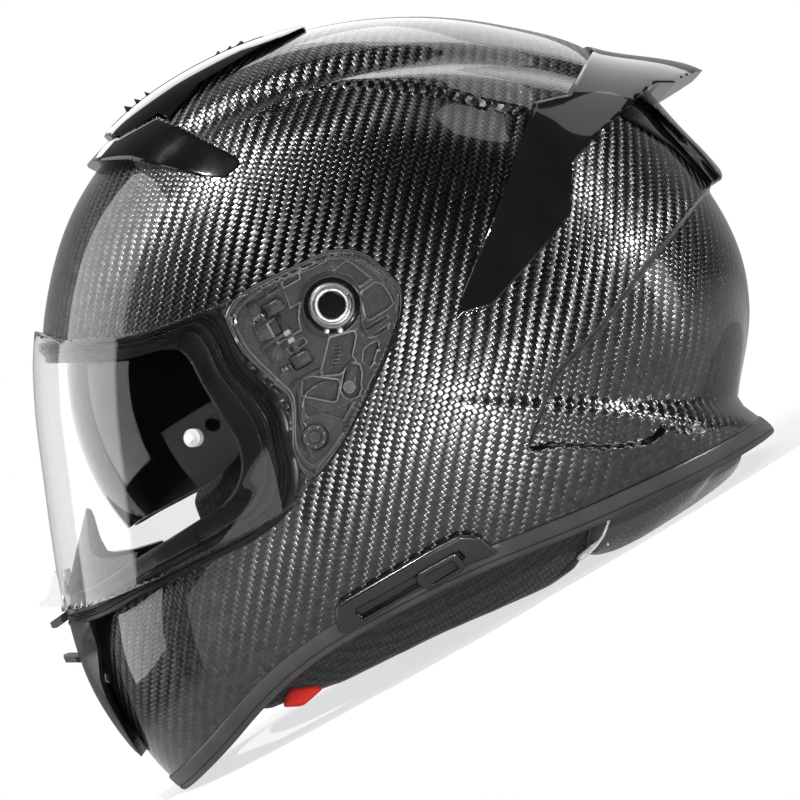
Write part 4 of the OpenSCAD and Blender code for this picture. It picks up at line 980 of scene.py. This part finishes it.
# painted shade and painted highlight: ambient occlusion darkens the grooves and corners, and lightens the
# convex edges to a pale grey
painted_shade_mask = add_node(tree, "AmbientOcclusion", [("Distance", 0.0022)], samples=8).outputs["AO"]
painted_highlight_mask = add_node(tree, "AmbientOcclusion", [("Distance", 0.0005)], samples=8, inside=True).outputs["AO"]
groove_painted_shade = blend(tree, 1.0, plain, remap(tree, painted_shade_mask, 0.5, 0.97, 0.02), "RGBA", "MULTIPLY")
edge_painted_highlight = blend(tree, remap(tree, painted_highlight_mask, 0.75, 0.35), groove_painted_shade, (0.2, 0.2, 0.205, 1), "RGBA")
wired(tree, shader, [("Base Color", edge_painted_highlight)])
slab = prism(mech_outline(0.4), -FACE, -111)
for outline in POCKETS + [TEETH_SLOT]:
    combine(slab, prism(outline, -FACE - 5, -FACE + POCKET_DEEP))
outer_wall = prism(mech_outline(0.4), -FACE - 2.6, -FACE + 0.5)
combine(outer_wall, prism(mech_outline(1.7), -130, -110))
inner_wall = prism(mech_outline(3.2), -FACE - 0.9, -FACE + 0.5)
combine(inner_wall, prism(mech_outline(4.0), -130, -110))
eyeport = smooth_line(EYEPORT_LINE, 6)
for piece, inset in ((slab, -0.4), (outer_wall, -0.4), (inner_wall, 0.5)):
    combine(piece, prism(offset_line(eyeport, inset)))
boss = stud(circle(PIVOT, 14.2, 64), -0.5, 0.7, 0.3)
for outline in (POCKETS[4], POCKETS[11]):
    combine(boss, prism(outline))
parts = [slab, outer_wall, inner_wall, boss]
parts += [stud(outline, -0.5, 0.8, 0.25) for outline in FLAT_PADS]
parts += [stud(outline, -0.5, 1.3, 0.3) for outline in RIBS]
# raised rims round the pockets
for outline in POCKETS:
    reach = np.linalg.norm(outline - np.mean(outline, axis=0), axis=1).mean()
    lip = stud(grown(outline, 1 + 0.7 / reach), -0.3, 0.45, 0.2)
    parts.append(combine(lip, prism(grown(outline, 1 - 0.1 / reach))))
# teeth along one side of the slot
parts += [stud(rectangle((-26.9 + 0.17 * k, 12.4 + 1.55 * k), 3.4, 0.7, 9), -1.6, -0.2, 0.15)
          for k in range(6)]
# moulded ring round the screw, with a step, and small round pegs
parts.append(raised([(5.7, -0.4), (5.7, 0.5), (6.0, 0.7), (6.9, 0.7), (7.2, 0.5), (7.2, -0.4)], SCREW))
parts += [stud(circle((-60.5 + 5 * k, 10.5 - 1.8 * k), 0.5, 16), -0.3, 0.5, 0.2) for k in range(3)]
both_sides(join(parts), "side_plate", "base_plate", plate_plastic, sharp=30)

# Shield hubs: a turned ring of dark steel with two lugs on each side, fixed to the shield's arm. It turns
# with the shield round the pivot cap.
steel = grained_material("bright_steel", (0.55, 0.55, 0.56), 0.2, 0.00002, 500.0, metal=1.0)
dark_steel = grained_material("dark_steel", (0.3, 0.3, 0.31), 0.27, 0.00006, 600.0, spread=0.1, metal=1.0)
hub = raised([(5.7, 0.3), (5.7, 4.6), (6.1, 5.0), (6.8, 5.0), (7.2, 4.5), (7.9, 4.3), (8.2, 4.8), (8.7, 5.0),
              (9.3, 4.7), (9.8, 3.7), (9.8, 0.3)], PIVOT)
lugs = [stud(circle(around(PIVOT, 10.7, a), 1.5, 20), 0.4, 2.6, 0.5) for a in (258, 288)]
both_sides(join([hub, *lugs]), "shield_hub_ring", "shield_hub", dark_steel, "shield_assembly",
           30)

# Pivot caps: moulded in gloss black with a ring of pips, and a rim round the hub. Each sits in its side plate
# on the shield's axis.
pin = raised([(0.02, -3), (0.02, 3.9), (2.6, 3.9), (2.9, 4.2), (4.9, 4.2), (5.3, 3.8), (5.3, -3)], PIVOT)
pips = [stud(circle(around(PIVOT, 3.9, 12 + 45 * k), 0.45, 14), 4.0, 4.6, 0.2) for k in range(8)]
rim = raised([(9.9, 0.3), (9.9, 1.9), (11.2, 1.8), (11.8, 1.4), (11.8, 0.3)], PIVOT)
both_sides(join([pin, rim, *pips]), "pivot_cap", "pivot_pin", gloss_black, sharp=30)

# Plate screws: a moulded black head with a ring of pips, and a shank. There is one on each side, and both are
# one piece, as their node is.
head = raised([(0.02, -8), (0.02, 1.2), (2.6, 1.2), (2.8, 1.8), (3.4, 1.9), (4.9, 1.9), (5.3, 1.5),
               (5.4, 0.1), (2.0, 0.1), (2.0, -8)], SCREW)
pips = [stud(circle(around(SCREW, 4.2, 20 + 51.4 * k), 0.4, 14), 1.7, 2.2, 0.15) for k in range(7)]
screw = join([head, *pips])
finish_piece(join([screw, mirrored(screw)]), "plate_screws", ["base_screws"], plate_plastic)

# Latches: two moulded barrels, each with a window that shows its spring, joined by a thin bar. They slide on
# the side plate.
parts = []
for barrel in LATCH_BARRELS:
    body = stud(rectangle(barrel, 9.2, 6.2, LATCH_TURN), 0.2, 3.6, 1.5, 5)
    window = around(barrel, 0.9 * math.sqrt(2), LATCH_TURN + 45)
    parts.append(combine(body, prism(rectangle(window, 3.4, 2.6, LATCH_TURN), -FACE - 5, -FACE - 2.0)))
    parts += [stud(rectangle(around(window, k, LATCH_TURN), 0.5, 2.4, LATCH_TURN), 1.8, 2.9, 0.2)
              for k in (-1, 0, 1)]
(ax, az), (bx, bz) = LATCH_BARRELS
bar = rectangle(((ax + bx) / 2, (az + bz) / 2), math.hypot(bx - ax, bz - az) - 5, 2.6,
                math.degrees(math.atan2(bz - az, bx - ax)))
both_sides(join([*parts, stud(bar, 0.2, 1.2, 0.2)]), "latch_barrels", "shield_latch",
           plate_plastic, "latch_SIDE")

# Release levers: a moulded arm with a round boss, which turns on a peg in the side plate. A finger pushes it
# to let the latch go.
arm = np.vstack([circle((LEVER[0] + 1, LEVER[1] + 7), 2.2, 24)[0:13], circle(LEVER, 3, 24)[12:25]])
lever = join([stud(arm, 0.2, 2.4, 0.5, 3), stud(circle(LEVER, 2.6, 32), 2.2, 2.8, 0.3),
              stud(circle(LEVER, 1.6, 24), -1.4, 0.4, 0.1)])
both_sides(lever, "release_arm", "release_lever", plate_plastic, "lever_SIDE", 30)

# Torsion springs and rivets: bent steel wire that lies on the plate, and a round and a square steel head that
# are riveted to it.
spring = wire([(x, -FACE - 0.7, z) for x, z in smooth_line(TORSION_WIRE, 6)], 0.3)
both_sides(spring, "torsion_wire", None, dark_steel)
rivet = join([raised([(0.02, -0.3), (0.02, 0.9), (1.2, 0.9), (2.2, 0.5), (2.5, -0.3)], (-56.5, 5.5), 32),
              stud(rectangle((-68.7, 31.5), 3.2, 4.2, 20), -0.5, 0.9, 0.6, 4)])
both_sides(rivet, "plate_rivets", None, steel)

# Crown vent slider: a thin tongue that runs on the crown vent plate, moulded in one piece with two sets of
# three finger fins.
SLIDER_AREA = [(-124, 114), (-140, 136), (-96, 166), (-62, 172), (-61, 156), (-84, 143.5), (-105, 127.5)]
FRONT_FINS = [[(-123.8, 130.5), (-122.6, 127.6), (-119, 124.5), (-113, 127), (-115.7, 129.8),
               (-120.2, 129.9)],
              [(-119.3, 133.7), (-118, 130.8), (-115, 128), (-109, 130), (-112.5, 132.5), (-116.1, 133)],
              [(-114.8, 136.8), (-113.2, 134), (-110, 131), (-105, 133), (-108.9, 135.7), (-112.1, 136.1)]]
REAR_FINS = [[(-83.6, 151.9), (-81.5, 155.3), (-79.8, 153.4), (-80, 149), (-83, 148)],
             [(-78.6, 154.6), (-76.1, 157.5), (-74.7, 155.8), (-75, 151), (-78, 150)],
             [(-74.6, 156.4), (-71.1, 159.8), (-69, 158), (-69.5, 153), (-73, 152)]]
TONGUE_HALF, FIN_HALF = 8.5, 7
tongue = plate("tongue", top_add, SLIDER_AREA, over=0.8, edge_radius=0.6, under=-0.4, segments=160, rows=80)
combine(tongue, prism([(-200, 0), (0, 0), (0, 200), (-200, 200)], -TONGUE_HALF, TONGUE_HALF), "INTERSECT")
parts = [tongue]
for outline in FRONT_FINS + REAR_FINS:
    fin = prism(outline, -FIN_HALF, FIN_HALF)
    parts.append(reshape(fin, bpy.ops.mesh.bevel, offset=0.4, segments=2, affect="EDGES"))
finish_piece(join(parts), "crown_vent_tongue", ["top_vent_slider"], satin_black,
             "crown_slider", 30)

# Sun shield slider: a rounded plastic housing glued to the lower edge of the shell, with a thumb tab that
# runs in its slot.
HOUSING_LINE = [(-27, -90), (-26.1, -86.1), (-22.8, -84), (12.4, -63.3), (24.8, -56.9), (32.3, -57.4),
                (41.2, -64.6), (38, -66), (26.9, -70.4), (0, -84.3), (-22.8, -98.8), (-25.4, -97.3)]
HOUSING_SLOT = [(-18, -87.6), (24.5, -63.4), (27, -66.2), (24.5, -69), (-15.6, -92), (-18.5, -90.5)]
TAB_LINE = [(7, -73.2), (22.8, -64.3), (27.3, -70), (25.6, -72.4), (12, -80), (7, -77)]
TAB_CUT = [(10, -74), (21.5, -67.6), (24.5, -70.8), (13.2, -77.5)]
skin = egg("skin", 300, 150)
skin_tree = BVHTree.FromPolygons([v.co for v in skin.data.vertices], [p.vertices for p in skin.data.polygons])
bpy.data.objects.remove(skin, do_unlink=True)


def on_shell(x, z):
    """How far to the right the shell's left side lies at a place in the side view."""
    hit = skin_tree.ray_cast(Vector((x, -400, z)), Vector((0, 1, 0)))[0]
    return hit.y if hit else -100


def laid(outline, low, high, bevel, pocket, deep):
    """Block of a side outline with a pocket, laid on the left of the shell between two heights over it."""
    piece = block(outline, 0, high - low, bevel, 4)
    combine(piece, prism(pocket, -100, low - high + deep))
    change(piece, "REMESH", mode="VOXEL", voxel_size=0.35)
    change(piece, "SMOOTH", factor=0.5, iterations=2)
    for v in piece.data.vertices:
        v.co.y += on_shell(v.co.x, v.co.z) - low
    return piece


gloss_satin = grained_material("semi_gloss_black", (0.012, 0.012, 0.013), 0.26, 0.00001, 1500.0, coat=0.3)
housing = laid(HOUSING_LINE, -1, 5, 1.8, HOUSING_SLOT, 3.5)
finish_piece(housing, "slider_housing", ["sun_slider_housing"], gloss_satin)
tab = laid(TAB_LINE, 2, 6.8, 0.9, TAB_CUT, 1.6)
finish_piece(tab, "slider_tab", ["sun_slider"], gloss_satin, "sun_slide_tab")

# Comfort padding: foam pads in dimpled knit and a suede neck roll with white piping, all held by snaps. Each
# swells from the solid of its node, and what shows below the rim is added by skins inside the shell. The chin
# straps are webbing, and the red pull ribbons under the cheek pads are woven cloth.
CHEEK_EDGE = [(-64, -131), (-56, -133), (-46.5, -128.1), (-23.2, -119.6), (0, -107.8), (21.1, -97.6),
              (42.3, -88.8), (63.4, -79.5), (74, -72), (81, -60), (85, -46), (84, -35), (33, -48), (3, -62),
              (-27, -79), (-46, -92), (-63, -108), (-74, -122)]
CHEEK_FRONT = [(-56, -20), (-72, -24), (-84, -34), (-88, -45), (-83, -58), (-56, -72)]
ROLL_EDGE = [(79, -67.5), (102, -57.5), (123.3, -44.5), (137, -29), (145, -18), (146, 0), (120, -12),
             (84, -34)]
PIPING_LINE = smooth_line([(89, -46), (87.5, -51), (85, -58), (80.5, -64), (75, -68.5)], 4)
PIPING_RADIUS, PIPING_SUNK = 1.3, 7.5


def under_rim(outline, over, under, near=-400, deep=400):
    """Lower part of a pad, between two skins inside the shell and within a side outline, set down."""
    piece = egg("pad", 160, 80, grow=over)
    combine(piece, prism(outline, near, deep), "INTERSECT")
    combine(piece, egg("room", 120, 60, grow=under))
    piece.data.transform(SET_DOWN)
    return piece


def soft_copy(node, name, voxel, smooth, puff, material, more=()):
    """Padded piece: the solid of its node swollen and rounded off, as its own object."""
    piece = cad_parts[node].copy()
    piece.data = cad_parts[node].data.copy()
    piece.parent = None
    for key in list(piece.keys()):
        del piece[key]
    bpy.context.collection.objects.link(piece)
    piece.hide_set(False)
    choose(piece)
    piece.name = piece.data.name = name
    weld(piece, 0.00002)
    join([piece, *more])
    change(piece, "REMESH", mode="VOXEL", voxel_size=voxel)
    change(piece, "SMOOTH", factor=0.6, iterations=smooth)
    co = np.empty(len(piece.data.vertices) * 3)
    no = np.empty_like(co)
    piece.data.vertices.foreach_get("co", co)
    piece.data.vertices.foreach_get("normal", no)
    co = (co + puff * no).reshape(-1, 3)
    co[:, 2] = np.maximum(co[:, 2], 0)
    piece.data.vertices.foreach_set("co", co.ravel())
    piece.data.materials.clear()
    piece.data.materials.append(material)
    bpy.ops.object.shade_smooth()
    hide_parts(node)
    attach(piece, "helmet")


def knit_group():
    """Knitted cloth: small round dimples in staggered rows, a fuzz, and painted shade in the low ground."""
    group, given, result = new_group("knit_cloth", {"Place": None, "Size": 900.0}, ["Height", "Shade"])
    cells = add_node(group, "TexVoronoi", [("Vector", given["Place"]), ("Scale", given["Size"]),
                     ("Randomness", 0.25)]).outputs["Distance"]
    fuzz = add_node(group, "TexNoise", [("Vector", given["Place"]), ("Scale", 2500.0),
                    ("Detail", 2.0)]).outputs["Fac"]
    height = sums(group, "MULTIPLY_ADD", fuzz, 0.3, sums(group, "MULTIPLY", cells, -1.0))
    # painted shade: the shade follows the cells, darker where the knit's height is low and lighter where it
    # is high
    wired(group, result, [("Height", height), ("Shade", remap(group, cells, 0.1, 0.7, 1.3, 0.45))])
    return group


KNIT = knit_group()


def cloth_material(name, colour, size, depth, sheen=0.3):
    """Knitted or brushed fabric, darkened by painted shade where its knit lies low."""
    material, tree, shader = new_material(name)
    place = add_node(tree, "TexCoord").outputs["Object"]
    knit = add_node(tree, "Group", [("Place", place), ("Size", size)], node_tree=KNIT).outputs
    wired(tree, shader, [("Base Color", shaded(tree, colour, knit["Shade"])),
                         ("Normal", bumped(tree, knit["Height"], depth)), ("Roughness", 0.85),
                         ("Sheen Weight", sheen), ("Sheen Roughness", 0.4)])
    return material


knit_dark = cloth_material("dimpled_knit", (0.035, 0.035, 0.037), 520.0, 0.0005)
suede = cloth_material("speckled_suede", (0.05, 0.05, 0.052), 1400.0, 0.00035, 0.6)
white_edge = cloth_material("white_piping", (0.8, 0.8, 0.8), 1800.0, 0.0001, 0.1)
webbing = cloth_material("webbing", (0.02, 0.02, 0.022), 1100.0, 0.0004)
red_cloth = cloth_material("red_ribbon", (0.75, 0.02, 0.01), 1500.0, 0.0002, 0.1)
soft_copy("crown_pad", "crown_padding", 0.004, 8, 0.0012, knit_dark)
for side, near, deep in (("left", -400, -30), ("right", 30, 400)):
    lower, front = under_rim(CHEEK_EDGE, -10, -34, near, deep), under_rim(CHEEK_FRONT, -31, -52, near, deep)
    soft_copy("cheek_pad_" + side, "cheek_cushion_" + side, 0.002, 8, 0.0006, knit_dark,
              [lower, front])
    soft_copy("strap_" + side, "strap_webbing_" + side, 0.0012, 2, 0.0003, webbing)
    soft_copy("release_tab_" + side, "pull_ribbon_" + side, 0.0012, 2, 0.0003, red_cloth)
soft_copy("neck_roll", "neck_cushion", 0.0022, 6, 0.0008, suede,
          [under_rim(ROLL_EDGE, -6, -32)])
cords = []
for mirror in (1, -1):
    path = [(x, mirror * (on_shell(x, z) + PIPING_SUNK), z) for x, z in PIPING_LINE]
    cords.append(wire(path, PIPING_RADIUS))
    cords[-1].data.transform(SET_DOWN)
soft_copy("neck_piping", "piping_cord", 0.0008, 2, 0.0002, white_edge, cords)

# Pieces that keep the solid's own form, each in its own finish: moulded bead foam liners, metal springs,
# rings and rivets, the lens pins, and the small plastic parts of the chin vent and the lock.
BEADS_A_METRE = 260.0


def foam_material(name):
    """Moulded bead foam, with painted shade that is darker towards the low seams between the beads."""
    material, tree, shader = new_material(name)
    place = add_node(tree, "TexCoord").outputs["Object"]
    beads = add_node(tree, "TexVoronoi", [("Vector", place), ("Scale", BEADS_A_METRE)]).outputs["Distance"]
    dents = add_node(tree, "Bump", [("Height", beads), ("Strength", 0.6), ("Distance", 0.0004)], invert=True)
    # painted shade: each bead is lighter at its middle and darker towards its sunken edges
    wired(tree, shader, [("Base Color", remap(tree, beads, 0.0, 0.8, 0.03, 0.012)),
                         ("Normal", dents.outputs[0]), ("Roughness", 0.75)])
    return material


FINISHES = [(foam_material("bead_foam"), ["impact_liner", "chin_liner"]),
            (steel, ["latch_springs", "strap_rings", "strap_anchors"]),
            (dark_steel, ["sun_shield_pivots"]),
            (grained_material("pale_plastic", (0.5, 0.5, 0.5), 0.3, 0.00003, 900.0), ["lens_pins"]),
            (satin_black, ["chin_vent_shutter", "chin_vent_grille", "shield_lock"])]
for material, names in FINISHES:
    for node in names:
        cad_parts[node].data.materials.clear()
        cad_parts[node].data.materials.append(material)
